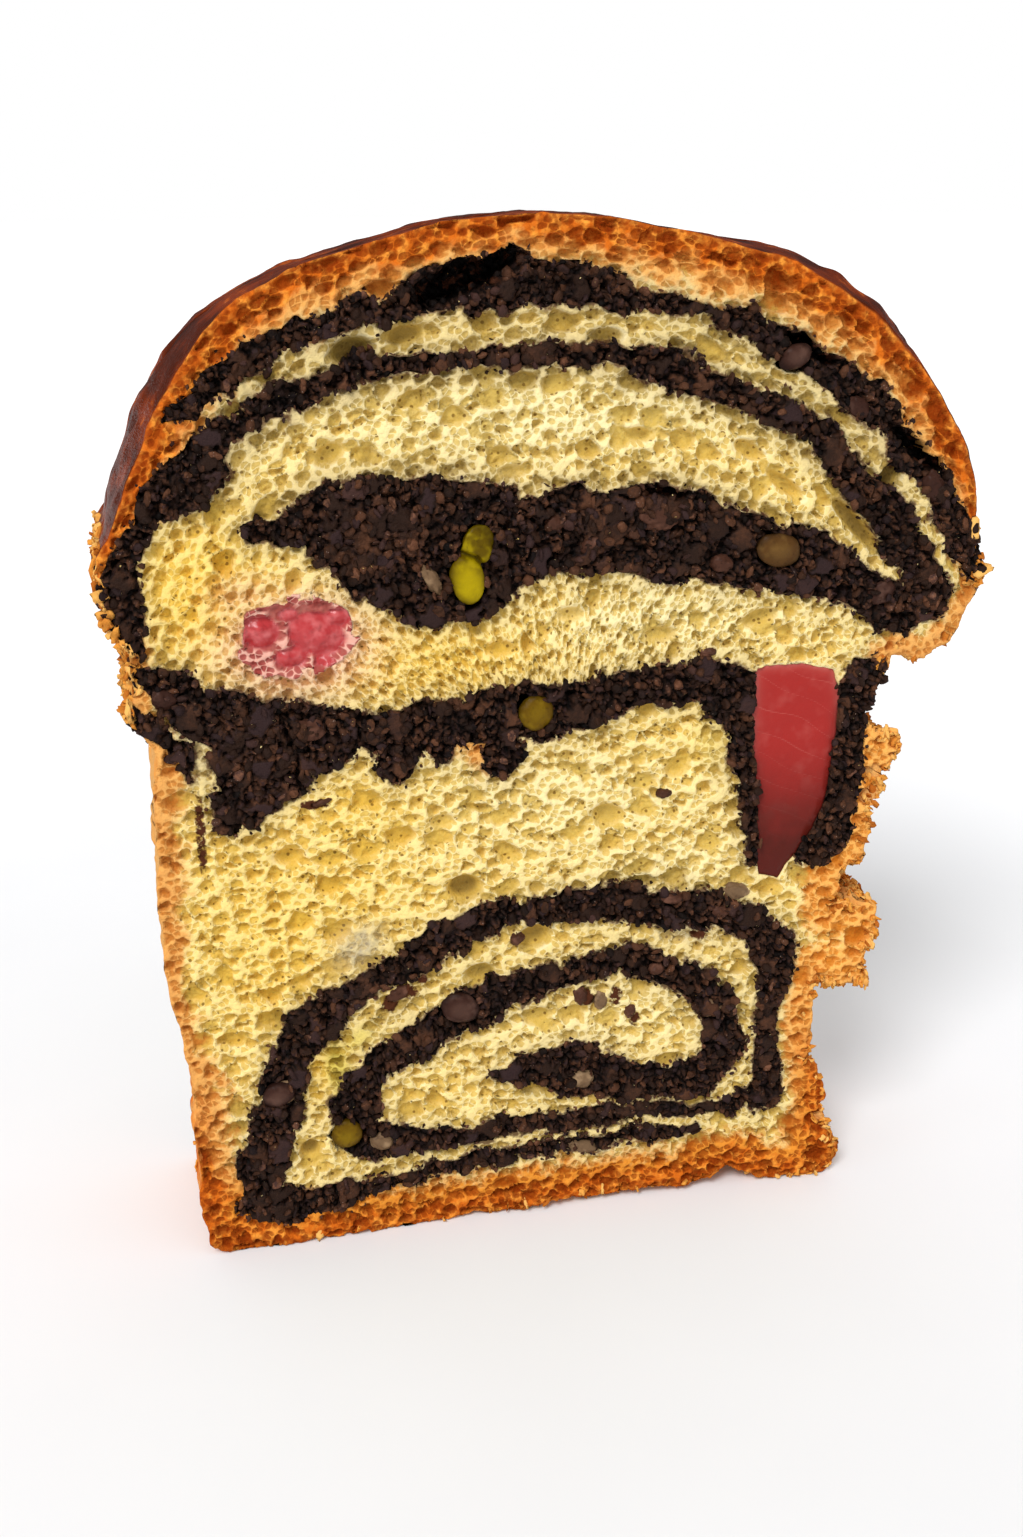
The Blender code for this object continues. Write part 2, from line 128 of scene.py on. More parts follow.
# Half the gap that the solids leave between one another, closed here.
HALF_GAP = 0.15
PROBE = 0.55
FIRM_SWEET = "delight_right"

Array = np.ndarray


class Side(Enum):
    """The two cut faces of the slice."""

    FRONT = -1
    BACK = 1


class Slot(Enum):
    """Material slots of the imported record."""

    CRUMB = "crumb"
    COCOA = "cocoa"
    SWEET = "sweet"
    PISTACHIO = "pistachio"
    RAISIN = "raisin"
    SULTANA = "sultana"


def smooth_step(value: Array, low: float, high: float) -> Array:
    """0 under low, 1 over high, and an even rise between them."""
    share = np.clip((value - low) / (high - low), 0.0, 1.0)
    return share * share * (3 - 2 * share)


def lattice_random(column: Array, row: Array, seed: int) -> Array:
    """A fixed random share for each cell of a lattice.

    Args:
        column: Whole cell numbers along the first axis.
        row: Whole cell numbers along the second axis.
        seed: Which of the random fields to read.

    Returns:
        One number from 0 to 1 for each cell.
    """
    mixed = column.astype(np.int64) * 374761393 + row.astype(np.int64) * 668265263 + seed * 974711
    mixed = mixed & 0xFFFFFFFF
    mixed = ((mixed ^ (mixed >> 13)) * 1274126177) & 0xFFFFFFFF
    mixed = ((mixed ^ (mixed >> 16)) * 2246822519) & 0xFFFFFFFF
    mixed = mixed ^ (mixed >> 15)
    return mixed.astype(np.float64) / 0xFFFFFFFF


def noise(x: Array, z: Array, size: float, seed: int) -> Array:
    """Smooth value noise from -1 to 1 with features of about the given size in millimetres."""
    u, v = x / size, z / size
    column, row = np.floor(u), np.floor(v)
    fu, fv = u - column, v - row
    fu, fv = fu * fu * (3 - 2 * fu), fv * fv * (3 - 2 * fv)
    low = lattice_random(column, row, seed) * (1 - fu) + lattice_random(column + 1, row, seed) * fu
    high = lattice_random(column, row + 1, seed) * (1 - fu) + lattice_random(column + 1, row + 1, seed) * fu
    return (low * (1 - fv) + high * fv) * 2 - 1


@dataclass(frozen=True)
class Patch:
    """A soft oval place on the face: centre, half sizes, lean in degrees and strength."""

    x: float
    z: float
    half_x: float
    half_z: float
    strength: float = 1.0
    lean: float = 0.0

    def weight(self, x: Array, z: Array, softness: float = 1.0) -> Array:
        """How much of the patch there is at each point."""
        turn = math.radians(self.lean)
        dx, dz = x - self.x, z - self.z
        along = (dx * math.cos(turn) + dz * math.sin(turn)) / self.half_x
        across = (-dx * math.sin(turn) + dz * math.cos(turn)) / self.half_z
        return self.strength * np.exp(-((along**2 + across**2) ** softness))


def total_weight(patches: Sequence[Patch], x: Array, z: Array, softness: float = 1.0) -> Array:
    """The patches' weights together, at most 1."""
    weight = np.zeros_like(x)
    for patch in patches:
        weight = np.maximum(weight, patch.weight(x, z, softness))
    return np.clip(weight, 0, 1)


@dataclass
class Contour:
    """Directed edges round a flat face, with the solid on their left as the face is looked at."""

    start: Array
    end: Array

    def distance(self, points: Array) -> tuple[Array, Array]:
        """The distance from each point to the nearest edge, and the place there.

        Args:
            points: Places on the face, one row each.

        Returns:
            Distances in millimetres and the nearest places.
        """
        if not len(self.start):
            return np.full(len(points), 99.0), points.copy()
        along = self.end - self.start
        length = np.maximum((along**2).sum(1), 1e-12)
        best = np.empty(len(points))
        place = np.empty((len(points), 2))
        for first in range(0, len(points), CHUNK):
            part = points[first : first + CHUNK]
            share = ((part[:, None, :] - self.start[None]) * along[None]).sum(2) / length[None]
            near = self.start[None] + np.clip(share, 0, 1)[..., None] * along[None]
            gone = ((part[:, None, :] - near) ** 2).sum(2)
            pick = gone.argmin(1)
            rows = np.arange(len(part))
            best[first : first + CHUNK] = np.sqrt(gone[rows, pick])
            place[first : first + CHUNK] = near[rows, pick]
        return best, place

    def contains(self, points: Array) -> Array:
        """Which points lie inside."""
        rise = self.end[:, 1] - self.start[:, 1]
        rise = np.where(np.abs(rise) < 1e-9, 1e-9, rise)
        lean = (self.end[:, 0] - self.start[:, 0]) / rise
        inside = np.empty(len(points), bool)
        for first in range(0, len(points), CHUNK):
            part = points[first : first + CHUNK, None, :]
            crosses = (self.start[None, :, 1] <= part[..., 1]) != (self.end[None, :, 1] <= part[..., 1])
            at = self.start[None, :, 0] + (part[..., 1] - self.start[None, :, 1]) * lean[None]
            inside[first : first + CHUNK] = (crosses & (at < part[..., 0])).sum(1) % 2 == 1
        return inside

    def away(self) -> Array:
        """Unit directions out of the solid, one for each edge."""
        along = self.end - self.start
        along = along / np.maximum(np.linalg.norm(along, axis=1), 1e-9)[:, None]
        return np.stack([along[:, 1], -along[:, 0]], axis=1)

    def chosen(self, wanted: Array) -> "Contour":
        """Only the wanted edges."""
        return Contour(self.start[wanted], self.end[wanted])


def joined_contours(contours: Sequence[Contour]) -> Contour:
    """All edges of several contours as one."""
    return Contour(np.concatenate([c.start for c in contours]), np.concatenate([c.end for c in contours]))


def cap_contour(node: bpy.types.Object, side: Side) -> Contour:
    """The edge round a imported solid's cut face.

    Args:
        node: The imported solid.
        side: Which cut face.

    Returns:
        The directed edges, in face millimetres.
    """
    mesh = node.data
    mesh.calc_loop_triangles()
    points = np.empty(len(mesh.vertices) * 3)
    mesh.vertices.foreach_get("co", points)
    points = points.reshape(-1, 3) / MM
    points[:, 0] += FACE_SHIFT
    triangles = np.empty(len(mesh.loop_triangles) * 3, np.int32)
    mesh.loop_triangles.foreach_get("vertices", triangles)
    merged, index = np.unique(np.round(points, 3), axis=0, return_inverse=True)
    triangles = index.reshape(-1)[triangles].reshape(-1, 3)
    flat = (np.abs(merged[triangles][:, :, 1] - side.value * HALF_DEPTH) < CAP_TOLERANCE).all(1)
    triangles = triangles[flat]
    edges = np.concatenate([triangles[:, [0, 1]], triangles[:, [1, 2]], triangles[:, [2, 0]]])
    edges = edges[edges[:, 0] != edges[:, 1]]
    if side is Side.BACK:
        edges = edges[:, ::-1]
    count = len(merged)
    keys = edges[:, 0].astype(np.int64) * count + edges[:, 1]
    back = edges[:, 1].astype(np.int64) * count + edges[:, 0]
    rim = edges[~np.isin(keys, back)]
    flat_points = merged[:, [0, 2]]
    return Contour(flat_points[rim[:, 0]], flat_points[rim[:, 1]])


@dataclass
class Plan:
    """All the solids' cut faces on one side, and which edges face the open air."""

    side: Side
    contours: dict[str, Contour]
    outer: dict[str, Contour] = field(default_factory=dict)
    inner: dict[str, Contour] = field(default_factory=dict)
    outline: Optional[Contour] = None

    def close_gaps(self) -> None:
        """Grow every piece to the middle of the gaps between the solids."""
        every = joined_contours(list(self.contours.values()))
        grown = {}
        for name, contour in self.contours.items():
            away = contour.away()
            covered = every.contains((contour.start + contour.end) / 2 + away * PROBE)
            corners = np.round(np.concatenate([contour.start, contour.end]), 3)
            index = np.unique(corners, axis=0, return_inverse=True)[1].ravel()
            push = np.zeros((index.max() + 1, 2))
            np.add.at(push, index, np.tile(away * covered[:, None], (2, 1)))
            push = push / np.maximum(np.linalg.norm(push, axis=1), 1e-6)[:, None]
            moved = HALF_GAP * push[index]
            count = len(contour.start)
            grown[name] = Contour(contour.start + moved[:count], contour.end + moved[count:])
        self.contours = grown

    def sort_edges(self) -> None:
        """Tell edges that face the air from edges that face another piece."""
        every = joined_contours(list(self.contours.values()))
        for name, contour in self.contours.items():
            covered = every.contains((contour.start + contour.end) / 2 + contour.away() * PROBE)
            self.outer[name] = contour.chosen(~covered)
            self.inner[name] = contour.chosen(covered)
        self.outline = joined_contours(list(self.outer.values()))

    def ragged_shift(self, points: Array) -> Array:
        """The uneven shifts that all pieces share, so that torn edges still meet."""
        x, z = points[:, 0], points[:, 1]
        inside = smooth_step(self.outline.distance(points)[0], *INLAND)
        torn = smooth_step(x, *TORN_REACH) * (1 - smooth_step(z, *TORN_HEIGHT))
        rim = DOME_RAGGED + (SIDE_RAGGED - DOME_RAGGED) * (1 - smooth_step(z, *DOME_FOOT))
        rim = np.maximum(rim, TORN_RAGGED * torn)
        calm = smooth_step(self.contours[FIRM_SWEET].distance(points)[0], *CALM_REACH)
        reach = (rim + (1 - rim) * inside) * (CALM_SHARE + (1 - CALM_SHARE) * calm)
        moves = [
            sum(size * noise(x, z, wave, seed + turn) for size, wave, seed in RAGGED)
            for turn in (0, 1)
        ]
        return np.stack(moves, axis=1) * reach[:, None]

    def smooth_place(self, points: Array) -> Array:
        """Where ragged places would lie if no edge were ragged."""
        before = points - self.ragged_shift(points)
        return points - self.ragged_shift(before)


def read_plan(nodes: dict[str, bpy.types.Object], side: Side) -> Plan:
    """The plan of one cut face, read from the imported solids."""
    contours = {name: cap_contour(node, side) for name, node in nodes.items()}
    plan = Plan(side, {name: contour for name, contour in contours.items() if len(contour.start)})
    plan.close_gaps()
    plan.sort_edges()
    return plan


@dataclass
class Sheet:
    """A face cut into small square cells, with its border pulled onto the ragged edge."""

    points: Array
    quads: Array
    border: Array

    @classmethod
    def over(cls, plan: Plan, node: str, cell: float) -> "Sheet":
        """Lay a sheet of cells over a node's cut face.

        Args:
            plan: The cut faces.
            node: The node's name.
            cell: Cell width in millimetres.

        Returns:
            The sheet, its border points on the edge.
        """
        contour = plan.contours[node]
        low = np.floor((contour.start.min(0) - RAGGED_ROOM) / cell).astype(int)
        high = np.ceil((contour.start.max(0) + RAGGED_ROOM) / cell).astype(int)
        columns, rows = high - low
        column, row = np.meshgrid(np.arange(columns), np.arange(rows))
        centres = np.stack([(column + low[0] + 0.5).ravel(), (row + low[1] + 0.5).ravel()], axis=1) * cell
        filled = contour.contains(plan.smooth_place(centres) + 1e-7).reshape(rows, columns)
        filled = largest_patch(filled)
        for _ in range(4):
            ahead = filled[:-1, :-1] & filled[1:, 1:] & ~filled[1:, :-1] & ~filled[:-1, 1:]
            behind = ~filled[:-1, :-1] & ~filled[1:, 1:] & filled[1:, :-1] & filled[:-1, 1:]
            filled[:-1, 1:] |= ahead
            filled[:-1, :-1] |= behind
        row, column = np.nonzero(filled)
        width = columns + 1
        corner = row * width + column
        corners = np.stack([corner, corner + 1, corner + width + 1, corner + width], axis=1)
        padded = np.pad(filled, 1)
        below, above = ~padded[:-2, 1:-1][row, column], ~padded[2:, 1:-1][row, column]
        left, right = ~padded[1:-1, :-2][row, column], ~padded[1:-1, 2:][row, column]
        sides = ((below, [0, 1]), (right, [1, 2]), (above, [2, 3]), (left, [3, 0]))
        border = np.concatenate([corners[free][:, ends] for free, ends in sides])
        used, index = np.unique(corners, return_inverse=True)
        points = np.stack([used % width + low[0], used // width + low[1]], axis=1) * float(cell)
        sheet = cls(points, index.reshape(-1, 4), np.searchsorted(used, border))
        sheet.pull_border(plan, contour, cell)
        return sheet

    def pull_border(self, plan: Plan, contour: Contour, cell: float) -> None:
        """Move the border points onto the ragged edge and ease the cells next to them."""
        rim = np.unique(self.border)
        place = contour.distance(plan.smooth_place(self.points[rim]))[1]
        place = place + plan.ragged_shift(place)
        near = np.linalg.norm(place - self.points[rim], axis=1) < 1.2 * cell
        self.points[rim[near]] = place[near]
        turns = ([0, 1], [1, 2], [2, 3], [3, 0])
        edges = np.concatenate([self.quads[:, turn] for turn in turns])
        free = np.ones(len(self.points), bool)
        free[rim] = False
        for _ in range(3):
            total = np.zeros_like(self.points)
            count = np.zeros(len(self.points))
            for one, other in ((0, 1), (1, 0)):
                np.add.at(total, edges[:, one], self.points[edges[:, other]])
                np.add.at(count, edges[:, one], 1)
            mean = total / np.maximum(count, 1)[:, None]
            self.points[free] += 0.5 * (mean - self.points)[free]


def largest_patch(filled: Array) -> Array:
    """Only the largest connected patch of a grid of filled cells."""
    label = np.where(filled, np.arange(1, filled.size + 1).reshape(filled.shape), 0)
    while True:
        padded = np.pad(label, 1)
        along = np.maximum(padded[1:-1, :-2], padded[1:-1, 2:])
        across = np.maximum(padded[:-2, 1:-1], padded[2:, 1:-1])
        spread = np.where(filled, np.maximum(label, np.maximum(along, across)), 0)
        spread = np.where(filled, spread.ravel()[np.maximum(spread - 1, 0)], 0)
        if (spread == label).all():
            break
        label = spread
    names, counts = np.unique(label[filled], return_counts=True)
    return label == names[counts.argmax()]


def outward_shift(x: Array, z: Array, depth: Union[Array, float]) -> Array:
    """How far the outer side stands out of the straight slice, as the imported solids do.

    Args:
        x: Places along the face.
        z: Heights.
        depth: Depth from the middle plane.

    Returns:
        The moves along X and Z in millimetres, one row each.
    """
    fullness = 1 - (depth / HALF_DEPTH) ** 2
    away = np.stack([x - DOME_CENTRE[0], z - DOME_CENTRE[1]], axis=-1)
    away = away / np.maximum(np.linalg.norm(away, axis=-1), 1e-6)[..., None]
    left = LEFT_BULGE * smooth_step(DOME_CENTRE[0] - x, *LEFT_SHOULDER)
    right = RIGHT_BULGE * smooth_step(x - DOME_CENTRE[0], *RIGHT_SHOULDER)
    fall = CROWN_FALL * smooth_step(-x, *FALL_GROWS) * (1 - smooth_step(-x, *FALL_FADES))
    behind = (depth + HALF_DEPTH) / (2 * HALF_DEPTH)
    shift = away * (((left + right) * fullness - fall * behind) * smooth_step(z, *DOME_RISE))[..., None]
    wave = np.sin(WAVE_BY_DEPTH * depth + WAVE_BY_HEIGHT * z)
    torn = TORN_DEPTH * fullness * (1 - TORN_WAVER + TORN_WAVER * wave)
    shift[..., 0] -= np.where((x > TORN_FROM) & (z < TORN_TOP), torn, 0)
    return shift


class PieceBuilder:
    """Turns a face's sheet into one closed mesh from the cut face to the middle plane."""

    def __init__(self, plan: Plan, node: str, cell: float) -> None:
        """Lay the sheet for one node."""
        self.plan = plan
        self.node = node
        self.sheet = Sheet.over(plan, node, cell)
        self.x = self.sheet.points[:, 0]
        self.z = self.sheet.points[:, 1]
        smooth = plan.smooth_place(self.sheet.points)
        self.rim = plan.outline.distance(smooth)[0]
        self.edge = plan.inner[node].distance(smooth)[0]
        cocoa = [contour for name, contour in plan.contours.items() if name.startswith("cocoa")]
        self.to_cocoa = joined_contours(cocoa).distance(smooth)[0]

    def build(
        self, name: str, sunk: Array, tones: dict[str, Array], skin_wave: float = 0.0
    ) -> bpy.types.Object:
        """Make the mesh object.

        Args:
            name: The piece's name.
            sunk: How far each point of the sheet lies behind the cut plane.
            tones: Values for each point of the sheet, stored under their names.
            skin_wave: Share by which the outer side's bulge waves.

        Returns:
            The new object, at the origin.
        """
        side = self.plan.side.value
        border = np.unique(self.sheet.border)
        outer = self.rim[border] < OUTER_EDGE
        points = [np.stack([self.x, side * (HALF_DEPTH - sunk), self.z], axis=1)]
        source = [np.arange(len(self.x))]
        face = [np.ones(len(self.x))]
        count = len(self.x)
        numbers = np.full((len(OUTER_LEVELS) + 1, len(self.x)), -1)
        numbers[0] = np.arange(len(self.x))
        for level, share in enumerate(OUTER_LEVELS, start=1):
            chosen = border if share in INNER_LEVELS else border[outer]
            numbers[level, chosen] = count + np.arange(len(chosen))
            count += len(chosen)
            source.append(chosen)
            face.append(np.zeros(len(chosen)))
            points.append(self.wall_points(chosen, sunk, share, skin_wave))
        quads = self.sheet.quads.tolist() + self.wall_faces(numbers)
        if self.plan.side is Side.BACK:
            quads = [quad[::-1] for quad in quads]
        index = np.concatenate(source)
        fields = {key: value[index] for key, value in tones.items()}
        fields["face"] = np.concatenate(face)
        fields["skin"] = np.where(self.rim[index] < OUTER_EDGE, 1 - 0.7 * fields["face"], 0)
        piece = mesh_object(name, np.concatenate(points), quads, fields)
        close_middle(piece)
        return piece

    def wall_points(self, chosen: Array, sunk: Array, share: float, skin_wave: float) -> Array:
        """The border points again at one share of the way to the middle plane."""
        side = self.plan.side.value
        x, z = self.x[chosen], self.z[chosen]
        start = sunk[chosen]
        deep = start + (HALF_DEPTH - start) * share
        depth = side * (HALF_DEPTH - deep)
        outer = self.rim[chosen] < OUTER_EDGE
        front, back = outward_shift(x, z, -HALF_DEPTH), outward_shift(x, z, HALF_DEPTH)
        here = outward_shift(x, z, depth)
        behind = ((HALF_DEPTH + depth) / (2 * HALF_DEPTH))[:, None]
        bulge = here - front * (1 - behind) - back * behind
        out = here - (front if self.plan.side is Side.FRONT else back)
        out -= self.plan.ragged_shift(np.stack([x, z], axis=1)) * smooth_step(share, *RAGGED_FADES)
        along, up = x + out[:, 0], z + out[:, 1]
        swell = noise(along, up + BULGE_SLANT * depth, BULGE_WAVE, BULGE_SEED)
        out += skin_wave * bulge * swell[:, None]
        reach = np.where(z > DOME_RISE[0], SKIN_ROUGH, SIDE_ROUGH)
        reach = np.where((x > TORN_FROM) & (z < TORN_TOP), TORN_ROUGH, reach)
        reach = reach * smooth_step(share, *ROUGH_GROWS)
        u, v = along * ROUGH_ALONG[0] + up * ROUGH_ALONG[1], depth + ROUGH_SLANT * up
        tucks = (WALL_TUCK * np.clip(along / TUCK_REACH, -1, 1), 0)
        for turn, tuck in enumerate(tucks):
            rough = sum(size * noise(u, v, wave, seed + 2 * turn) for size, wave, seed in ROUGH_WAVES)
            out[:, turn] += reach * (rough - tuck)
        out = np.where(outer[:, None], out, 0)
        return np.stack([x + out[:, 0], depth, z + out[:, 1]], axis=1)

    def wall_faces(self, numbers: Array) -> list[list[int]]:
        """Faces down the walls; where inner and outer walls meet, one many-sided face."""
        faces = []
        for one, other in self.sheet.border:
            near = [int(number) for number in numbers[:, one] if number >= 0]
            far = [int(number) for number in numbers[:, other] if number >= 0]
            if len(near) == len(far):
                faces += [[near[k], near[k + 1], far[k + 1], far[k]] for k in range(len(near) - 1)]
            else:
                faces.append(near + far[::-1])
        return faces


def mesh_object(
    name: str, points: Array, faces: list[list[int]], fields: dict[str, Array]
) -> bpy.types.Object:
    """A mesh object from face millimetres.

    Args:
        name: The object's name.
        points: Face X, depth and height of each point.
        faces: Point numbers round each face.
        fields: One value or one row of three values for each point, stored under their names.

    Returns:
        The new object, linked to the scene.
    """
    mesh = bpy.data.meshes.new(name)
    placed = (points - np.array([FACE_SHIFT, 0, 0])) * MM
    placed[:, 2] = np.maximum(placed[:, 2], 0)
    mesh.from_pydata(placed.tolist(), [], faces)
    mesh.polygons.foreach_set("use_smooth", np.ones(len(faces), bool))
    for key, values in fields.items():
        kind, slot = ("FLOAT", "value") if values.ndim == 1 else ("FLOAT_VECTOR", "vector")
        layer = mesh.attributes.new(key, kind, "POINT")
        layer.data.foreach_set(slot, values.astype(np.float32).ravel())
    piece = bpy.data.objects.new(name, mesh)
    bpy.context.scene.collection.objects.link(piece)
    return piece


def close_middle(piece: bpy.types.Object) -> None:
    """Close the open ring at the slice's middle plane."""
    edit = bmesh.new()
    edit.from_mesh(piece.data)
    rim = [edge for edge in edit.edges if edge.is_boundary]
    bmesh.ops.triangle_fill(edit, use_beauty=False, use_dissolve=False, edges=rim)
    edit.to_mesh(piece.data)
    edit.free()


def flow_places(x: Array, z: Array, arched: bool, seed: int) -> Array:
    """Places along and across the rolled layers: arcs in the dome, level under it."""
    along, across = x, z
    if arched:
        dx, dz = x - 2.0, z - 60.0
        along, across = np.arctan2(dx, dz) * 60.0, np.hypot(dx, dz)
    return np.stack([along + 7.3 * seed, across + 3.9 * seed, np.zeros_like(x)], axis=1)


BIG_PORES = (
    Patch(-23, 121.5, 2.6, 1.5, 2.2, 15), Patch(-16.5, 123.2, 2.5, 1.2, 2.0, 10),
    Patch(8, 122.5, 2.2, 1.0, 1.4), Patch(-10, 51.3, 2.4, 1.9, 2.4), Patch(-8, 38.5, 2.2, 1.5, 1.8),
    Patch(-0.5, 43, 2.6, 1.8, 2.0, 20), Patch(0, 31, 2.2, 1.5, 1.6), Patch(27, 108, 2.4, 1.1, 1.6, -30),
    Patch(32, 103.5, 3.2, 1.0, 1.8, -38), Patch(42.4, 97.6, 5.4, 1.1, 2.2, -46),
    Patch(-32, 14, 1.5, 1.6, 2.2), Patch(-3.6, 106.6, 2.2, 1.0, 1.2), Patch(12.5, 110.5, 2.4, 1.0, 1.6),
    Patch(-26, 109.5, 2.2, 1.3, 1.6, 25), Patch(46, 103, 1.4, 3.0, 2.6, -30),
    Patch(9.5, 60, 2.4, 1.7, 1.7, -10), Patch(-33, 58, 2.0, 1.3, 1.5), Patch(-13, 61, 1.8, 1.2, 1.3),
    Patch(19, 66, 2.0, 1.5, 1.4, 30), Patch(-27, 47, 2.2, 1.2, 1.3, 35), Patch(16, 84.6, 2.4, 1.2, 1.5),
    Patch(29.5, 86, 2.6, 1.2, 1.6, 15), Patch(-5, 84, 2.2, 1.1, 1.4), Patch(4, 88, 2.0, 1.1, 1.2),
)
GOLD = (
    Patch(-42, 93, 9, 9, 1.0), Patch(-36, 48, 11, 16, 0.6), Patch(-12, 84, 14, 6, 0.7),
    Patch(-24, 62, 10, 7, 0.6), Patch(-30, 27, 4, 6, 0.9), Patch(22, 70, 9, 7, 0.35),
    Patch(-26, 52, 12, 9, 0.5),
)
PALE = (
    Patch(0, 113, 26, 6, 0.8), Patch(16, 87, 18, 5, 0.8), Patch(4, 64, 20, 8, 0.55),
    Patch(12, 30, 16, 6, 0.5), Patch(18, 52, 12, 5, 0.6),
)
FOOT = (Patch(41, 3, 5.5, 5, 1.0), Patch(-38, -1, 16, 3.2, 0.55))
CITRON = (
    Patch(-27.6, 25.5, 1.7, 6.0, 0.95, 10), Patch(-25, 31, 3.0, 1.6, 0.6, 40), Patch(24, 70, 3, 4, 0.3),
)
BLUSH = (Patch(-31, 86, 9.8, 7.0, 0.95), Patch(-37.5, 92.5, 5, 3.5, 0.45), Patch(-33, 80.8, 8, 2.5, 0.6))
LOBES = (
    Patch(-35.2, 88.0, 2.5, 2.2), Patch(-28.4, 87.4, 3.9, 2.9, 1.0, -20), Patch(-31.6, 84.6, 2.4, 1.5, 0.9),
    Patch(-25.6, 89.4, 2.0, 1.5, 0.8), Patch(-31.6, 90.0, 1.5, 1.1, 0.8), Patch(-27.5, 84.0, 1.8, 1.0, 0.7),
)
EVEN = (
    Patch(-20.5, 99.5, 6.5, 4.8), Patch(-38, 73.5, 4.5, 3.8), Patch(8, 100.5, 4.5, 2.6, 0.9),
    Patch(-36, 68, 3, 3, 0.8),
)
GREY = (
    Patch(-24.5, 44.5, 4.2, 2.6, 0.8, 40), Patch(21, 41.5, 4, 1.6, 0.5, -15),
    Patch(-44.6, 74, 1.6, 4, 0.5, 20),
)
# Patches of painted shade on the crumb, added to the shade beside cocoa.
PAINTED_SHADE_PATCHES = (Patch(-19, 35.5, 6.0, 2.2, 0.75, 38), Patch(-10, 39.8, 6.0, 1.4, 0.35, 18))
SMEAR = (
    Patch(-20.5, 35.4, 1.8, 1.2, 0.8, 40), Patch(-16.2, 38.6, 1.2, 0.9, 0.7),
    Patch(-29.5, 65.2, 2.4, 0.8, 0.9), Patch(7, 33, 1.6, 1.5, 0.8), Patch(11, 33, 1.3, 2.1, 0.7),
    Patch(14, 29, 1.0, 1.5, 0.7), Patch(-18, 37, 1.5, 1.3, 0.8), Patch(-3, 43, 1.4, 1.0, 0.6),
    Patch(23, 41, 1.6, 1.0, 0.7), Patch(-44, 62, 0.8, 8, 0.7), Patch(1.8, 100, 1.4, 1.1, 0.7),
    Patch(22.7, 82, 1.4, 0.7, 0.7), Patch(-20, 36.4, 1.4, 0.8, 0.7), Patch(4, 31.8, 0.8, 0.9, 0.6),
)


Number = Union[float, int]
Colour = tuple[float, float, float]


class Value:
    """A socket in a node tree, with arithmetic that adds its nodes."""

    def __init__(self, graph: "Graph", socket: bpy.types.NodeSocket) -> None:
        """Wrap one output socket."""
        self.graph = graph
        self.socket = socket

    def math(self, operation: str, *others: Union["Value", Number]) -> "Value":
        """One Math node of this value and others."""
        return self.graph.node("ShaderNodeMath", {"operation": operation}, [self, *others])

    def __add__(self, other: Union["Value", Number]) -> "Value":
        """This plus other."""
        return self.math("ADD", other)

    __radd__ = __add__

    def __mul__(self, other: Union["Value", Number]) -> "Value":
        """This times other."""
        return self.math("MULTIPLY", other)

    __rmul__ = __mul__

    def __sub__(self, other: Union["Value", Number]) -> "Value":
        """This minus other."""
        return self.math("SUBTRACT", other)

    def __rsub__(self, other: Number) -> "Value":
        """A number minus this."""
        return self.graph.node("ShaderNodeMath", {"operation": "SUBTRACT"}, [other, self])

    def __truediv__(self, other: Union["Value", Number]) -> "Value":
        """This over other."""
        return self.math("DIVIDE", other)

    def __pow__(self, other: Number) -> "Value":
        """This to a power."""
        return self.math("POWER", other)

    def least(self, other: Union["Value", Number]) -> "Value":
        """The lesser of this and other."""
        return self.math("MINIMUM", other)

    def most(self, other: Union["Value", Number]) -> "Value":
        """The greater of this and other."""
        return self.math("MAXIMUM", other)

    def under(self, other: Union["Value", Number]) -> "Value":
        """1 where this is less than other, else 0."""
        return self.math("LESS_THAN", other)

    def between(self, low: float, high: float) -> "Value":
        """An even rise from 0 at low to 1 at high."""
        settings = {"interpolation_type": "SMOOTHSTEP"}
        inputs = {"Value": self, "From Min": low, "From Max": high}
        return self.graph.node("ShaderNodeMapRange", settings, inputs)

    def parts(self) -> tuple["Value", "Value", "Value"]:
        """The three numbers of a vector or colour."""
        first = self.graph.node("ShaderNodeSeparateXYZ", {}, [self])
        outputs = first.socket.node.outputs
        return first, Value(self.graph, outputs[1]), Value(self.graph, outputs[2])


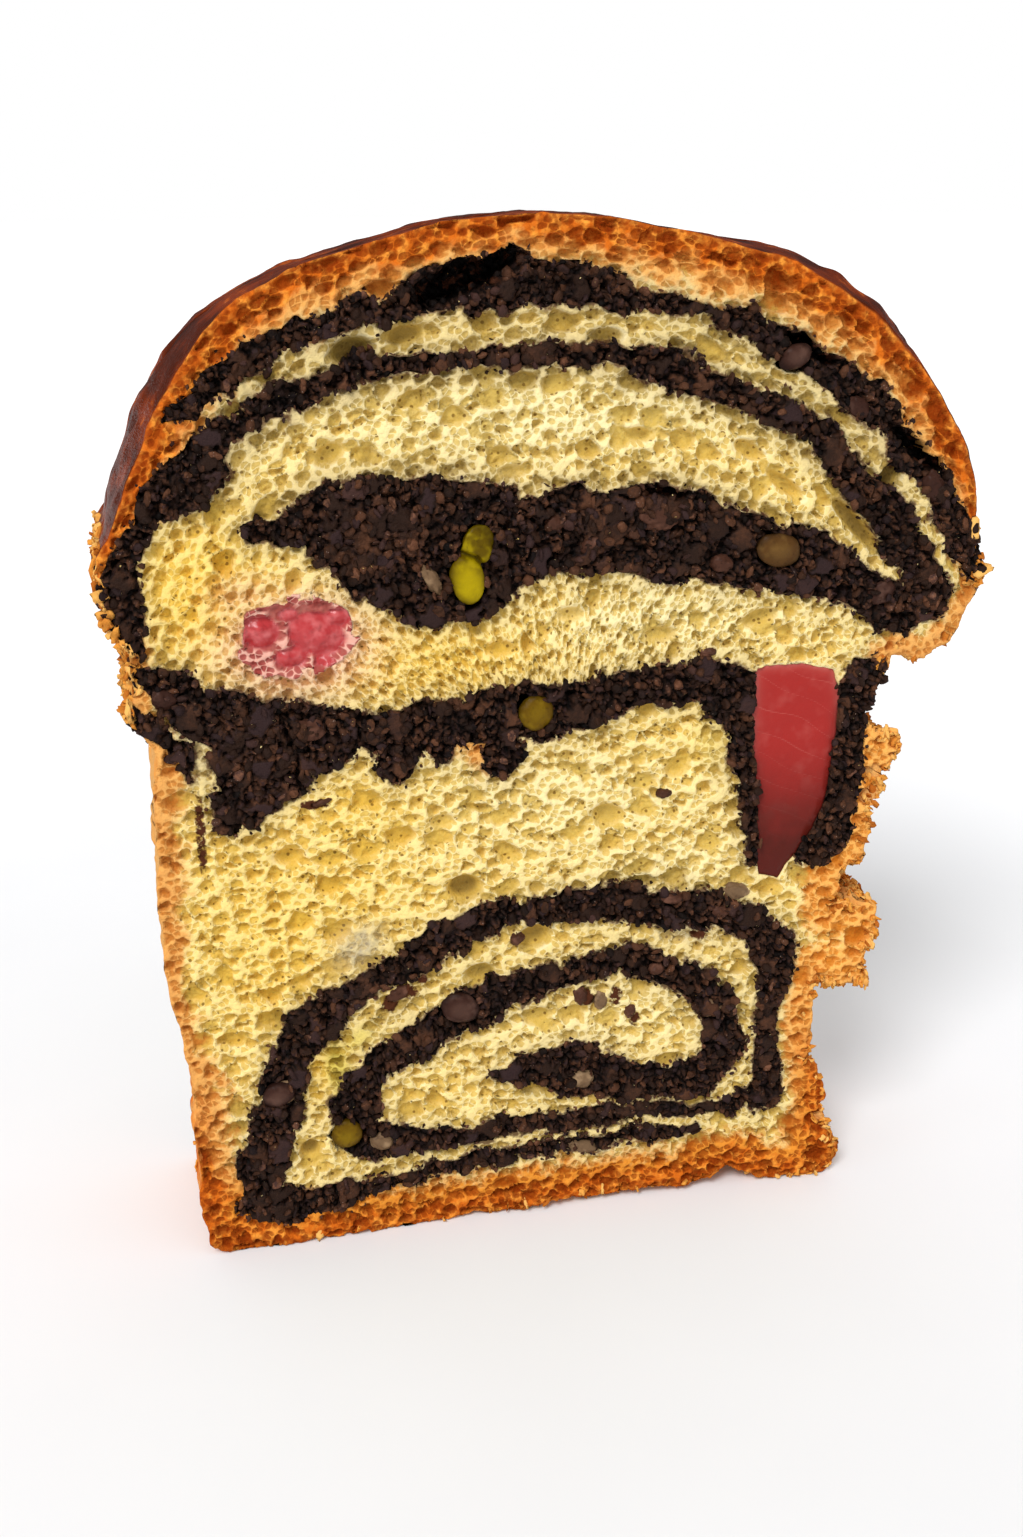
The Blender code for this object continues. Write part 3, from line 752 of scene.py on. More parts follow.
class Graph:
    """Adds nodes to one tree, for a material or a mesh rule."""

    def __init__(self, tree: bpy.types.NodeTree) -> None:
        """Keep the tree."""
        self.tree = tree

    def node(
        self, kind: str, settings: dict[str, object], inputs: Union[dict, list], output: Union[str, int] = 0
    ) -> Value:
        """Add one node.

        Args:
            kind: The node's type name.
            settings: Properties that are set before its sockets.
            inputs: Values or links, by socket name or in socket order.
            output: The output socket's name or number.

        Returns:
            The output socket as a value.
        """
        made = self.tree.nodes.new(kind)
        for key, value in settings.items():
            setattr(made, key, value)
        pairs = inputs.items() if isinstance(inputs, dict) else enumerate(inputs)
        for key, value in pairs:
            self.feed(made.inputs[key], value)
        return Value(self, made.outputs[output])

    def feed(self, socket: bpy.types.NodeSocket, value: object) -> None:
        """Link a value to a socket, or set the socket."""
        if isinstance(value, Value):
            self.tree.links.new(value.socket, socket)
        elif isinstance(value, tuple) and socket.type == "RGBA":
            socket.default_value = (*value, 1)
        else:
            socket.default_value = value

    def vector(self, operation: str, *values: object) -> Value:
        """One Vector Math node."""
        return self.node("ShaderNodeVectorMath", {"operation": operation}, list(values))

    def clouds(self, place: Value, size: float, detail: float = 3.0, output: str = "Fac") -> Value:
        """Cloudy noise from 0 to 1 with features of about the given size in millimetres."""
        inputs = {"Vector": place, "Scale": 1 / size, "Detail": detail, "Roughness": 0.55}
        return self.node("ShaderNodeTexNoise", {}, inputs, output)

    def cells(
        self, place: Value, size: float, feature: str = "F1", output: str = "Distance", flat: bool = False
    ) -> Value:
        """A cell pattern with cells of about the given size in millimetres."""
        settings = {"feature": feature, "voronoi_dimensions": "2D" if flat else "3D"}
        return self.node("ShaderNodeTexVoronoi", settings, {"Vector": place, "Scale": 1 / size}, output)


class MeshRule(Graph):
    """A Geometry Nodes tree with named inputs, which is applied to a piece and then removed."""

    def __init__(self, name: str, inputs: dict[str, float]) -> None:
        """Start the tree.

        Args:
            name: The tree's name.
            inputs: The named inputs and their usual values.
        """
        super().__init__(bpy.data.node_groups.new(name, "GeometryNodeTree"))
        interface = self.tree.interface
        interface.new_socket("Geometry", in_out="INPUT", socket_type="NodeSocketGeometry")
        interface.new_socket("Geometry", in_out="OUTPUT", socket_type="NodeSocketGeometry")
        self.sockets = {}
        for key, value in inputs.items():
            socket = interface.new_socket(key, in_out="INPUT", socket_type="NodeSocketFloat")
            socket.default_value = value
            self.sockets[key] = socket.identifier
        self.start = self.tree.nodes.new("NodeGroupInput")
        self.geometry = Value(self, self.start.outputs["Geometry"])

    def size(self, name: str) -> Value:
        """A named input of the tree."""
        return Value(self, self.start.outputs[name])

    def tone(self, name: str) -> Value:
        """A number stored on the mesh."""
        settings = {"data_type": "FLOAT"}
        return self.node("GeometryNodeInputNamedAttribute", settings, {"Name": name}, "Attribute")

    def place(self, name: str) -> Value:
        """A vector stored on the mesh."""
        settings = {"data_type": "FLOAT_VECTOR"}
        return self.node("GeometryNodeInputNamedAttribute", settings, {"Name": name}, "Attribute")

    def write(self, name: str, value: Value) -> None:
        """Store a number on the mesh, for the material."""
        settings = {"data_type": "FLOAT", "domain": "POINT"}
        inputs = {"Geometry": self.geometry, "Name": name, "Value": value}
        self.geometry = self.node("GeometryNodeStoreNamedAttribute", settings, inputs)

    def sink(self, depth: Value) -> None:
        """Move the cut face inwards along Y by a depth in millimetres."""
        inward = depth * self.tone("face") * self.size("Inward") * MM
        offset = self.node("ShaderNodeCombineXYZ", {}, {"Y": inward})
        inputs = {"Geometry": self.geometry, "Offset": offset}
        self.geometry = self.node("GeometryNodeSetPosition", {}, inputs)

    def close(self, material: bpy.types.Material) -> None:
        """End the tree with realized instances and a material."""
        self.geometry = self.node("GeometryNodeRealizeInstances", {}, {"Geometry": self.geometry})
        inputs = {"Geometry": self.geometry, "Material": material}
        self.geometry = self.node("GeometryNodeSetMaterial", {}, inputs)
        end = self.tree.nodes.new("NodeGroupOutput")
        self.tree.links.new(self.geometry.socket, end.inputs["Geometry"])

    def apply(self, piece: bpy.types.Object, **values: float) -> None:
        """Run the tree on a piece and keep the result as a plain mesh.

        Args:
            piece: The object to work on.
            values: Inputs by name, with _ for spaces.
        """
        modifier = piece.modifiers.new("rule", "NODES")
        modifier.node_group = self.tree
        for key, value in values.items():
            modifier[self.sockets[key.replace("_", " ")]] = float(value)
        graph = bpy.context.evaluated_depsgraph_get()
        made = bpy.data.meshes.new_from_object(piece.evaluated_get(graph))
        piece.modifiers.clear()
        piece.data = made


@dataclass(frozen=True)
class Pores:
    """One size of pore in the crumb's foam."""

    size: float
    stretch: float
    share: float
    wall: float
    depth: float
    shift: float

    def caps(self, graph: Graph, place: Value) -> tuple[Value, Value]:
        """Round hollows between walls, in a share of the foam's cells.

        Args:
            graph: The tree to add to.
            place: Places along and across the layers, in millimetres.

        Returns:
            Each hollow's fullness from 0 to 1, and its depth in millimetres.
        """
        moved = graph.vector("ADD", place, (self.shift, self.shift * 0.7, 0))
        scaled = graph.vector("MULTIPLY", moved, (1 / (self.size * self.stretch), 1 / self.size, 0))
        edge = graph.cells(scaled, 1.0, "DISTANCE_TO_EDGE", flat=True)
        centre = graph.cells(scaled, 1.0, "F1", flat=True)
        pick, deep, _ = Value(graph, centre.socket.node.outputs["Color"]).parts()
        body = graph.node("ShaderNodeMath", {"operation": "SMOOTH_MIN"}, [edge * 2.2, 0.54 - centre, 0.12])
        full = ((body - self.wall) / 0.14).most(0.0).least(1.0) ** 0.5
        full = full * pick.under(self.share)
        return full, full * (0.4 + 0.6 * deep) * self.depth


@dataclass(frozen=True)
class Foam:
    """The crumb's three sizes of pore, for the mesh rule and the material alike."""

    large: Pores = Pores(3.1, 1.5, 0.20, 0.08, 1.6, 5.0)
    middle: Pores = Pores(1.65, 1.4, 0.64, 0.07, 1.05, 103.0)
    small: Pores = Pores(0.9, 1.3, 0.92, 0.06, 0.55, 211.0)

    def layers(self, graph: Graph, flow: Value) -> tuple[list[Value], list[Value]]:
        """Fullness and depth of the large, middle and small pores at a place on the layers."""
        warp = graph.vector("SUBTRACT", graph.clouds(flow, 2.4, 2.0, "Color"), (0.5, 0.5, 0.5))
        place = graph.vector("ADD", flow, graph.vector("MULTIPLY", warp, (1.6, 1.6, 0)))
        pairs = [pores.caps(graph, place) for pores in (self.large, self.middle, self.small)]
        return [full for full, _ in pairs], [depth for _, depth in pairs]


@dataclass(frozen=True)
class CrumbRule:
    """Sinks pores of three sizes into a cut face of dough."""

    foam: Foam = Foam()

    def tree(self, material: bpy.types.Material) -> MeshRule:
        """Build the tree."""
        rule = MeshRule("crumb_rule", {"Inward": 1.0, "Pore Depth": 1.0})
        _, (large, middle, small) = self.foam.layers(rule, rule.place("flow"))
        named = rule.tone("named")
        depth = (large.most(middle) + small * 0.7) * rule.tone("wall") * rule.size("Pore Depth")
        rule.sink(depth.most(named + small * 0.5))
        rule.close(material)
        return rule


@dataclass(frozen=True)
class PasteRule:
    """Breaks a cut face of cocoa into lumps and grains, and stores where the gaps between them get painted
    shade.
    """

    lump: float = 2.9
    grain: float = 1.35
    speck: float = 0.7

    def tree(self, material: bpy.types.Material) -> MeshRule:
        """Build the tree."""
        rule = MeshRule("paste_rule", {"Inward": 1.0})
        flow = rule.place("flow")
        warp = rule.vector("SUBTRACT", rule.clouds(flow, 1.5, 3.0, "Color"), (0.5, 0.5, 0.5))
        place = rule.vector("ADD", flow, rule.vector("MULTIPLY", warp, (2.8, 2.8, 0)))
        lump_top, lump_gap, lump_pick, lump_tone = self.nodules(rule, place, self.lump)
        grain_top, grain_gap, _, grain_tone = self.nodules(rule, place, self.grain)
        speck_top, speck_gap, _, speck_tone = self.nodules(rule, place, self.speck)
        even = rule.tone("even")
        is_lump = (lump_pick - even * 0.5).under(0.30) * lump_gap.between(0.2, 0.6)
        rough = grain_top * (0.35 + 0.65 * grain_tone) + speck_top * speck_tone * 0.45
        smooth = 0.75 + lump_top * 0.5 + speck_top * 0.06
        height = rough + (smooth - rough) * is_lump
        height = height + (0.9 + speck_top * 0.12 - height) * even * (0.3 + grain_gap * 0.7)
        gap = grain_gap * (0.45 + 0.55 * speck_gap)
        gap = gap + (lump_gap - gap) * is_lump
        # Painted shade mask: 1 in the gaps between lumps and grains, weaker on even paste.
        rule.write("gap", (1 - gap) * (1 - even * 0.6))
        grain_shade = (grain_tone * 0.75 + speck_tone * 0.25) * (1 - is_lump)
        rule.write("chunk", grain_shade + lump_tone * 0.7 * is_lump)
        swell = rule.clouds(flow, 5.0, 2.0) - 0.5
        grit = rule.clouds(flow, 0.7, 2.0) - 0.5
        depth = (1.6 - height * 1.9 + swell * 1.5 - grit * 0.5).most(-0.4)
        rule.sink(depth * rule.tone("wall") + rule.tone("named"))
        rule.close(material)
        return rule

    @staticmethod
    def nodules(rule: MeshRule, place: Value, size: float) -> tuple[Value, Value, Value, Value]:
        """Rounded broken pieces of one size.

        Args:
            rule: The tree to add to.
            place: Places on the face, in millimetres.
            size: Width of the pieces.

        Returns:
            The height of their tops, 1 on a piece and 0 in the gaps, and two random numbers for each.
        """
        edge = rule.cells(place, size, "DISTANCE_TO_EDGE", flat=True)
        centre = rule.cells(place, size, "F1", flat=True)
        outputs = centre.socket.node.outputs
        pick, tone, lean = Value(rule, outputs["Color"]).parts()
        away = rule.vector("SUBTRACT", place, Value(rule, outputs["Position"]))
        across, along, _ = away.parts()
        slope = (across * (lean - 0.5) + along * (tone - 0.5)) * 0.9 / size
        top = (1 - centre * centre * 1.8).most(0.0) ** 0.5
        return top * edge.between(-0.1, 0.25) + slope, edge.between(0.0, 0.17), pick, tone


def firm_jelly_rule(material: bpy.types.Material) -> MeshRule:
    """Lets a firm sweet's cut face swell softly."""
    rule = MeshRule("firm_jelly_rule", {"Inward": 1.0})
    swell = rule.clouds(rule.place("flow"), 5.0, 2.0)
    rule.sink((0.2 + swell * 0.5) * rule.tone("wall"))
    rule.close(material)
    return rule


def melted_jelly_rule(material: bpy.types.Material) -> MeshRule:
    """Pulls a melted sweet into smooth lobes, with stained foam round them."""
    rule = MeshRule("melted_jelly_rule", {"Inward": 1.0})
    flow = rule.place("flow")
    _, (large, middle, small) = Foam().layers(rule, flow)
    ripple = rule.clouds(flow, 1.6, 3.0) - 0.5
    lobe = (rule.tone("lobe") + ripple * 0.25).between(0.34, 0.46)
    foam = 0.25 + large.most(middle) * 0.7 + small * 0.9
    bowl = 2.0 + ripple * 0.8 - rule.tone("lobe") * 1.7
    rule.write("smooth", lobe)
    rule.sink((foam + (bowl - foam) * lobe) * rule.tone("wall"))
    rule.close(material)
    return rule


@dataclass(frozen=True)
class GrainRule:
    """Scatters broken grains over the part of a face that a stored tone picks."""

    smallest: float
    largest: float
    density: float
    flatness: float = 0.7
    ragged: float = 0.35
    length: float = 1.0
    everywhere: bool = False
    fineness: int = 2

    def tree(self, name: str, tone: str, low: float, high: float, material: bpy.types.Material) -> MeshRule:
        """Build the tree.

        Args:
            name: The tree's name.
            tone: The stored tone that says where grains lie.
            low: The tone where grains start.
            high: The tone where they lie thickest.
            material: The grains' finish.

        Returns:
            The tree, which keeps the grains and drops the face.
        """
        rule = MeshRule(name, {"Density": self.density})
        where = rule.tone(tone).between(low, high) * rule.size("Density") * 1e6
        if not self.everywhere:
            where = where * rule.tone("face")
        points = rule.node(
            "GeometryNodeDistributePointsOnFaces", {"distribute_method": "RANDOM"},
            {"Mesh": rule.geometry, "Density": where, "Seed": 7},
        )
        grain = rule.node("GeometryNodeMeshIcoSphere", {}, {"Radius": MM, "Subdivisions": self.fineness})
        turn = self.random(rule, (0.0, 0.0, 0.0), (6.3, 6.3, 6.3), 11)
        size = self.random(rule, (self.smallest,) * 3, (self.largest,) * 3, 12)
        size = rule.vector("MULTIPLY", size, (self.length, self.flatness, 0.85))
        inputs = {"Points": points, "Instance": grain, "Rotation": turn, "Scale": size}
        rule.geometry = rule.node("GeometryNodeInstanceOnPoints", {}, inputs)
        shade = rule.node("FunctionNodeRandomValue", {"data_type": "FLOAT"}, {"Seed": 13}, 1)
        settings = {"data_type": "FLOAT", "domain": "INSTANCE"}
        inputs = {"Geometry": rule.geometry, "Name": "chunk", "Value": shade}
        rule.geometry = rule.node("GeometryNodeStoreNamedAttribute", settings, inputs)
        rule.geometry = rule.node("GeometryNodeRealizeInstances", {}, {"Geometry": rule.geometry})
        place = rule.vector("MULTIPLY", rule.node("GeometryNodeInputPosition", {}, {}), (1 / MM,) * 3)
        push = rule.vector("SUBTRACT", rule.clouds(place, 0.45, 1.0, "Color"), (0.5, 0.5, 0.5))
        push = rule.vector("MULTIPLY", push, (2 * self.ragged * MM,) * 3)
        inputs = {"Geometry": rule.geometry, "Offset": push}
        rule.geometry = rule.node("GeometryNodeSetPosition", {}, inputs)
        rule.close(material)
        return rule

    @staticmethod
    def random(rule: MeshRule, low: Colour, high: Colour, seed: int) -> Value:
        """A random vector for each grain."""
        settings = {"data_type": "FLOAT_VECTOR"}
        return rule.node("FunctionNodeRandomValue", settings, {"Min": low, "Max": high, "Seed": seed})


# How far in from its edges the crumb's pores begin, and how sharply its pores and patches end.
EDGE_LEAD = 0.2
RIM_LEAD = 1.6
PORES_BEGIN = (0.05, 0.7)
PORE_BOWL = 2.2
PATCH_EDGE = 1.4
# Where torn flakes lie, out along X or up along Z, and their share where they are few.
FLAKES_RIGHT = (37.0, 41.0)
FLAKES_RIGHT_TOP = (78.0, 84.0)
FLAKES_LEFT = (44.0, 46.0)
FLAKES_WAIST = (86.0, 90.0)
FLAKES_WAIST_TOP = (97.0, 101.0)
FLAKES_FOOT = (3.0, 8.0)
FLAKES_SIDES = (88.0, 92.0)
FLAKES_INLAND = (0.3, 2.0)
FEW_AT_FOOT = 0.2
FEW_ON_SIDES = 0.12
# Heights and places between which the crust's colours change, how pale the lower sides' crust is, and the
# heights over which the painted shade beside cocoa grows to full on the dome.
PALE_CRUST = 0.15
DARK_DOME = (90.0, 98.0)
DARK_FOOT = (12.0, 28.0)
WARM_FOOT = (6.0, 14.0)
WARM_REACH = (34.0, 42.0)
WARM_HEIGHT = (72.0, 80.0)
SHADE_BESIDE_COCOA_HEIGHT = (96.0, 106.0)
GLAZE_HEIGHT = (86.0, 100.0)
# How far the painted shade beside cocoa reaches into the crumb and how strong it is under the dome, and how
# far cocoa stains the crumb's edge.
SHADE_BESIDE_COCOA_REACH = 2.3
SHADE_BESIDE_COCOA_LEAST = 0.55
STAIN_REACH = 0.6


def rounding(gone: Array, depth: float, reach: float) -> Array:
    """How far an edge is rounded back at a distance from it."""
    return depth * np.exp(-((gone / reach) ** 2))


@dataclass(frozen=True)
class Baking:
    """How far in from the skin the oven browned the dough, and where it did so more."""

    width: float = 2.5
    left: tuple[float, float] = (22.0, 38.0)
    dome_more: float = 2.2
    dome: tuple[float, float] = (98.0, 108.0)
    dome_left_less: float = 0.4
    foot_more: float = 3.6
    foot: tuple[float, float] = (6.0, 14.0)
    right_more: float = 2.6
    right: tuple[float, float] = (34.0, 42.0)
    right_top: tuple[float, float] = (66.0, 78.0)
    corner_more: float = 1.6
    corner: tuple[float, float] = (36.0, 42.0)
    corner_top: tuple[float, float] = (18.0, 34.0)
    solid: float = 0.5
    solid_left_more: float = 0.4
    solid_dome: tuple[float, float] = (98.0, 104.0)
    waves: tuple[tuple[float, float, int], ...] = ((0.6, 3.0, 71), (0.4, 1.2, 72))
    fade: float = 1.5

    def share(self, x: Array, z: Array, rim: Array) -> Array:
        """How browned the dough is, from 1 at the crust to 0 deep in the crumb."""
        left = smooth_step(-x, *self.left)
        width = self.width + self.dome_more * smooth_step(z, *self.dome) * (1 - self.dome_left_less * left)
        width = width + self.foot_more * (1 - smooth_step(z, *self.foot))
        right = smooth_step(x, *self.right) * (1 - smooth_step(z, *self.right_top))
        corner = smooth_step(-x, *self.corner) * (1 - smooth_step(z, *self.corner_top))
        width = width + self.right_more * right + self.corner_more * corner
        rim = rim - (self.solid + self.solid_left_more * left) * smooth_step(z, *self.solid_dome)
        rim = rim + sum(size * noise(x, z, wave, seed) for size, wave, seed in self.waves)
        return np.exp(-((np.maximum(rim, 0) / width) ** self.fade))


@dataclass(frozen=True)
class Crumb:
    """The dough's cut face: its soft swell and its tones."""

    arched: bool
    seed: int
    rest: float = 0.2
    swells: tuple[tuple[float, float, int], ...] = (
        (0.30, 11.0, 1), (0.22, 4.2, 2), (0.10, 1.1, 3), (0.05, 0.55, 4),
    )
    edge_round: tuple[float, float] = (0.1, 0.35)
    rim_round: tuple[float, float] = (0.2, 0.4)
    baking: Baking = Baking()

    def sunk(self, builder: PieceBuilder) -> Array:
        """How far the face lies behind the cut plane, before its pores."""
        x, z = builder.x, builder.z
        swell = sum(reach * noise(x, z, size, self.seed + turn) for reach, size, turn in self.swells)
        rounded = rounding(builder.edge, *self.edge_round) + rounding(builder.rim, *self.rim_round)
        forward = total_weight(FOOT, x, z) if builder.plan.side is Side.FRONT else 0
        return self.rest + swell + rounded - forward

    def tones(self, builder: PieceBuilder) -> dict[str, Array]:
        """What the rule and the material read."""
        x, z, rim, edge = builder.x, builder.z, builder.rim, builder.edge
        # Painted shade on the crumb beside cocoa, full on the dome.
        thin = SHADE_BESIDE_COCOA_LEAST + (1 - SHADE_BESIDE_COCOA_LEAST) * smooth_step(z, *SHADE_BESIDE_COCOA_HEIGHT)
        thin = thin * np.exp(-((builder.to_cocoa / SHADE_BESIDE_COCOA_REACH) ** 2))
        dome = smooth_step(z, *DARK_DOME)
        torn_side = smooth_step(x, *WARM_REACH) * (1 - smooth_step(z, *WARM_HEIGHT))
        named = np.zeros_like(x)
        if builder.plan.side is Side.FRONT:
            for pore in BIG_PORES:
                named = np.maximum(named, pore.weight(x, z, PORE_BOWL))
        return {
            "flow": flow_places(x, z, self.arched, self.seed),
            "wall": smooth_step(np.minimum(edge + EDGE_LEAD, rim * RIM_LEAD), *PORES_BEGIN),
            "named": named,
            "bake": self.baking.share(x, z, rim),
            "brown": PALE_CRUST + (1 - PALE_CRUST) * np.maximum(dome, 1 - smooth_step(z, *DARK_FOOT)),
            "warm": np.maximum(torn_side, 1 - smooth_step(z, *WARM_FOOT)),
            "gold": total_weight(GOLD, x, z),
            "pale": total_weight(PALE, x, z),
            "blush": self.front_only(builder, BLUSH),
            "citron": self.front_only(builder, CITRON),
            "grey": self.front_only(builder, GREY),
            "smear": self.front_only(builder, SMEAR),
            "stain": np.exp(-builder.to_cocoa / STAIN_REACH),
            "torn": self.torn(x, z, rim),
            "thin": np.maximum(thin, self.front_only(builder, PAINTED_SHADE_PATCHES)),
            "gloss": smooth_step(z, *GLAZE_HEIGHT),
        }

    @staticmethod
    def front_only(builder: PieceBuilder, patches: Sequence[Patch]) -> Array:
        """Weights of patches that only the front face has."""
        if builder.plan.side is Side.BACK:
            return np.zeros_like(builder.x)
        return total_weight(patches, builder.x, builder.z, PATCH_EDGE)

    @staticmethod
    def torn(x: Array, z: Array, rim: Array) -> Array:
        """Where crust is torn into flakes: the lower right side, the left waist and the foot."""
        right = smooth_step(x, *FLAKES_RIGHT) * (1 - smooth_step(z, *FLAKES_RIGHT_TOP))
        left = smooth_step(-x, *FLAKES_LEFT) * smooth_step(z, *FLAKES_WAIST)
        left = left * (1 - smooth_step(z, *FLAKES_WAIST_TOP))
        few = FEW_AT_FOOT * (1 - smooth_step(z, *FLAKES_FOOT))
        few = few + FEW_ON_SIDES * (1 - smooth_step(z, *FLAKES_SIDES))
        return np.maximum(np.maximum(right, left), few) * (1 - smooth_step(rim, *FLAKES_INLAND))


class Shader(Graph):
    """Builds one material's nodes from expressions."""

    def __init__(self, name: str) -> None:
        """Start an empty Principled material."""
        self.material = bpy.data.materials.new(name)
        self.material.use_nodes = True
        super().__init__(self.material.node_tree)
        self.principled = self.tree.nodes["Principled BSDF"]
        coordinates = self.node("ShaderNodeTexCoord", {}, {}, "Object")
        self.place = self.vector("MULTIPLY", coordinates, (1 / MM, 1 / MM, 1 / MM))

    def tone(self, name: str, output: str = "Fac") -> Value:
        """A field stored on the mesh."""
        return self.node("ShaderNodeAttribute", {"attribute_name": name}, {}, output)

    def soft(self, size: float, detail: float = 2.0) -> Value:
        """Cloudy noise over the piece."""
        return self.clouds(self.place, size, detail)

    def mix(
        self, first: Union[Value, Colour], second: Union[Value, Colour], share: Union[Value, Number]
    ) -> Value:
        """A colour between two, by share."""
        made = self.tree.nodes.new("ShaderNodeMix")
        made.data_type = "RGBA"
        made.clamp_factor = True
        self.feed(made.inputs[0], share)
        self.feed(made.inputs[6], first)
        self.feed(made.inputs[7], second)
        return Value(self, made.outputs[2])

    def bump(self, height: Value, reach: float, strength: float = 1.0) -> None:
        """Feed fine relief of the given reach in millimetres to the surface."""
        inputs = {"Height": height, "Distance": reach * MM, "Strength": strength}
        self.feed(self.principled.inputs["Normal"], self.node("ShaderNodeBump", {}, inputs))

    def finish(self, **sockets: object) -> bpy.types.Material:
        """Set the Principled sockets, written with _ for spaces, and return the material."""
        for key, value in sockets.items():
            self.feed(self.principled.inputs[key.replace("_", " ").title().replace("Ior", "IOR")], value)
        return self.material


@dataclass(frozen=True)
class CrumbFinish:
    """Yellow crumb, baked rim and glossy brown skin in one material, with painted shade in the pores and
    beside cocoa and a painted highlight on the pores' rims.
    """

    foam: Foam = Foam()
    cream: Colour = (0.92, 0.72, 0.30)
    # Painted highlight on the pores' rims.
    bright: Colour = (0.98, 0.85, 0.50)
    # Painted shade in the pores; every *_hollow colour below is the same for its tone of crumb or crust.
    pore_shade: Colour = (0.67, 0.44, 0.085)
    gold: Colour = (0.96, 0.68, 0.17)
    gold_hollow: Colour = (0.72, 0.42, 0.032)
    pale: Colour = (0.95, 0.82, 0.46)
    pale_hollow: Colour = (0.60, 0.43, 0.11)
    tan: Colour = (0.80, 0.40, 0.11)
    tan_hollow: Colour = (0.52, 0.18, 0.026)
    warm: Colour = (0.96, 0.50, 0.13)
    warm_hollow: Colour = (0.66, 0.22, 0.020)
    foot: Colour = (0.74, 0.27, 0.030)
    foot_hollow: Colour = (0.34, 0.075, 0.004)
    amber: Colour = (0.88, 0.32, 0.040)
    rust: Colour = (0.64, 0.140, 0.009)
    # Painted shade in the crust's pores.
    dark_rust: Colour = (0.24, 0.036, 0.001)
    skin: Colour = (0.22, 0.027, 0.001)
    skin_dark: Colour = (0.070, 0.009, 0.001)
    side_skin: Colour = (0.70, 0.36, 0.11)
    blush: Colour = (0.80, 0.48, 0.35)
    blush_hollow: Colour = (0.46, 0.14, 0.09)
    citron: Colour = (0.66, 0.52, 0.055)
    citron_hollow: Colour = (0.22, 0.14, 0.006)
    # Painted shade on the crumb beside cocoa: dim on the walls, dim_hollow in the pores.
    dim: Colour = (0.52, 0.40, 0.20)
    dim_hollow: Colour = (0.14, 0.085, 0.022)
    grey: Colour = (0.40, 0.35, 0.26)
    smear: Colour = (0.075, 0.022, 0.009)
    # Painted shade in the deepest named pores.
    deep_pore_shade: Colour = (0.24, 0.15, 0.035)
    # Painted shade in small pinholes.
    pinhole_shade: Colour = (0.17, 0.085, 0.012)

    def material(self) -> bpy.types.Material:
        """Build the material."""
        shader = Shader("crumb_and_crust")
        bake, skin, brown = shader.tone("bake"), shader.tone("skin"), shader.tone("brown")
        (large, middle, small), _ = self.foam.layers(shader, shader.tone("flow", "Vector"))
        pit = large.most(middle * 0.9).most(small * 0.75) * shader.tone("wall")
        pit = pit.most((shader.tone("named") / 1.4).least(1.0))
        fine = shader.soft(0.8, 3.0)
        specks = shader.cells(shader.place, 0.55)
        holes = (1 - specks.between(0.05, 0.40)) * fine.between(0.40, 0.62)
        # Painted shade: sunk says how far pores and small holes darken the colour, from their depth, with a
        # little noise.
        sunk = (pit + holes * 0.3 + (shader.soft(0.35) - 0.5) * 0.5).least(1.0).most(0.0)
        # Painted highlight: rim marks the pores' edges, which are made lighter.
        rim = pit.between(0.0, 0.25) * (1 - pit.between(0.25, 0.6))
        crumb = shader.mix(self.cream, self.pore_shade, sunk)
        crumb = shader.mix(crumb, self.bright, rim * 0.8)
        crumb = shader.mix(crumb, shader.mix(self.gold, self.gold_hollow, sunk), shader.tone("gold"))
        crumb = shader.mix(crumb, shader.mix(self.pale, self.pale_hollow, sunk), shader.tone("pale"))
        blush = shader.mix(self.blush, self.blush_hollow, sunk)
        crumb = shader.mix(crumb, blush, shader.tone("blush") * (0.6 + fine * 0.8))
        crumb = shader.mix(crumb, shader.mix(self.citron, self.citron_hollow, sunk), shader.tone("citron"))
        # Painted shade: dark pinholes in the pores.
        pinhole_mask = (1 - shader.cells(shader.place, 1.15).between(0.14, 0.25)) * sunk.between(0.15, 0.5)
        crumb = shader.mix(crumb, self.pinhole_shade, pinhole_mask * 0.8)
        # Painted shade in the deepest named pores.
        crumb = shader.mix(crumb, self.deep_pore_shade, shader.tone("named").between(1.4, 2.3) * 0.75)
        # Painted shade on the crumb beside cocoa and in the shade patches.
        dim = shader.mix(self.dim, self.dim_hollow, sunk)
        crumb = shader.mix(crumb, dim, shader.tone("thin") * (0.3 + fine * 0.8))
        crumb = shader.mix(crumb, self.grey, shader.tone("grey") * fine * 1.5)
        crumb = shader.mix(crumb, self.smear, (shader.tone("smear") * (fine * 2.6)).between(0.45, 0.8))
        stain = (shader.tone("stain") * (fine * 2.1)).between(0.45, 0.95)
        crumb = shader.mix(crumb, self.smear, stain * 0.85)
        baked = (bake + (fine - 0.5) * 0.4 + (shader.soft(2.6) - 0.5) * 0.45).least(1.0).most(0.0)
        warm = shader.mix(self.warm, self.foot, brown)
        warm = shader.mix(warm, shader.mix(self.warm_hollow, self.foot_hollow, brown), sunk)
        tan = shader.mix(shader.mix(self.tan, self.tan_hollow, sunk), warm, shader.tone("warm"))
        crumb = shader.mix(crumb, tan, baked.between(0.10, 0.50))
        crust = shader.mix(self.rust, self.amber, shader.soft(1.8).between(0.42, 0.66))
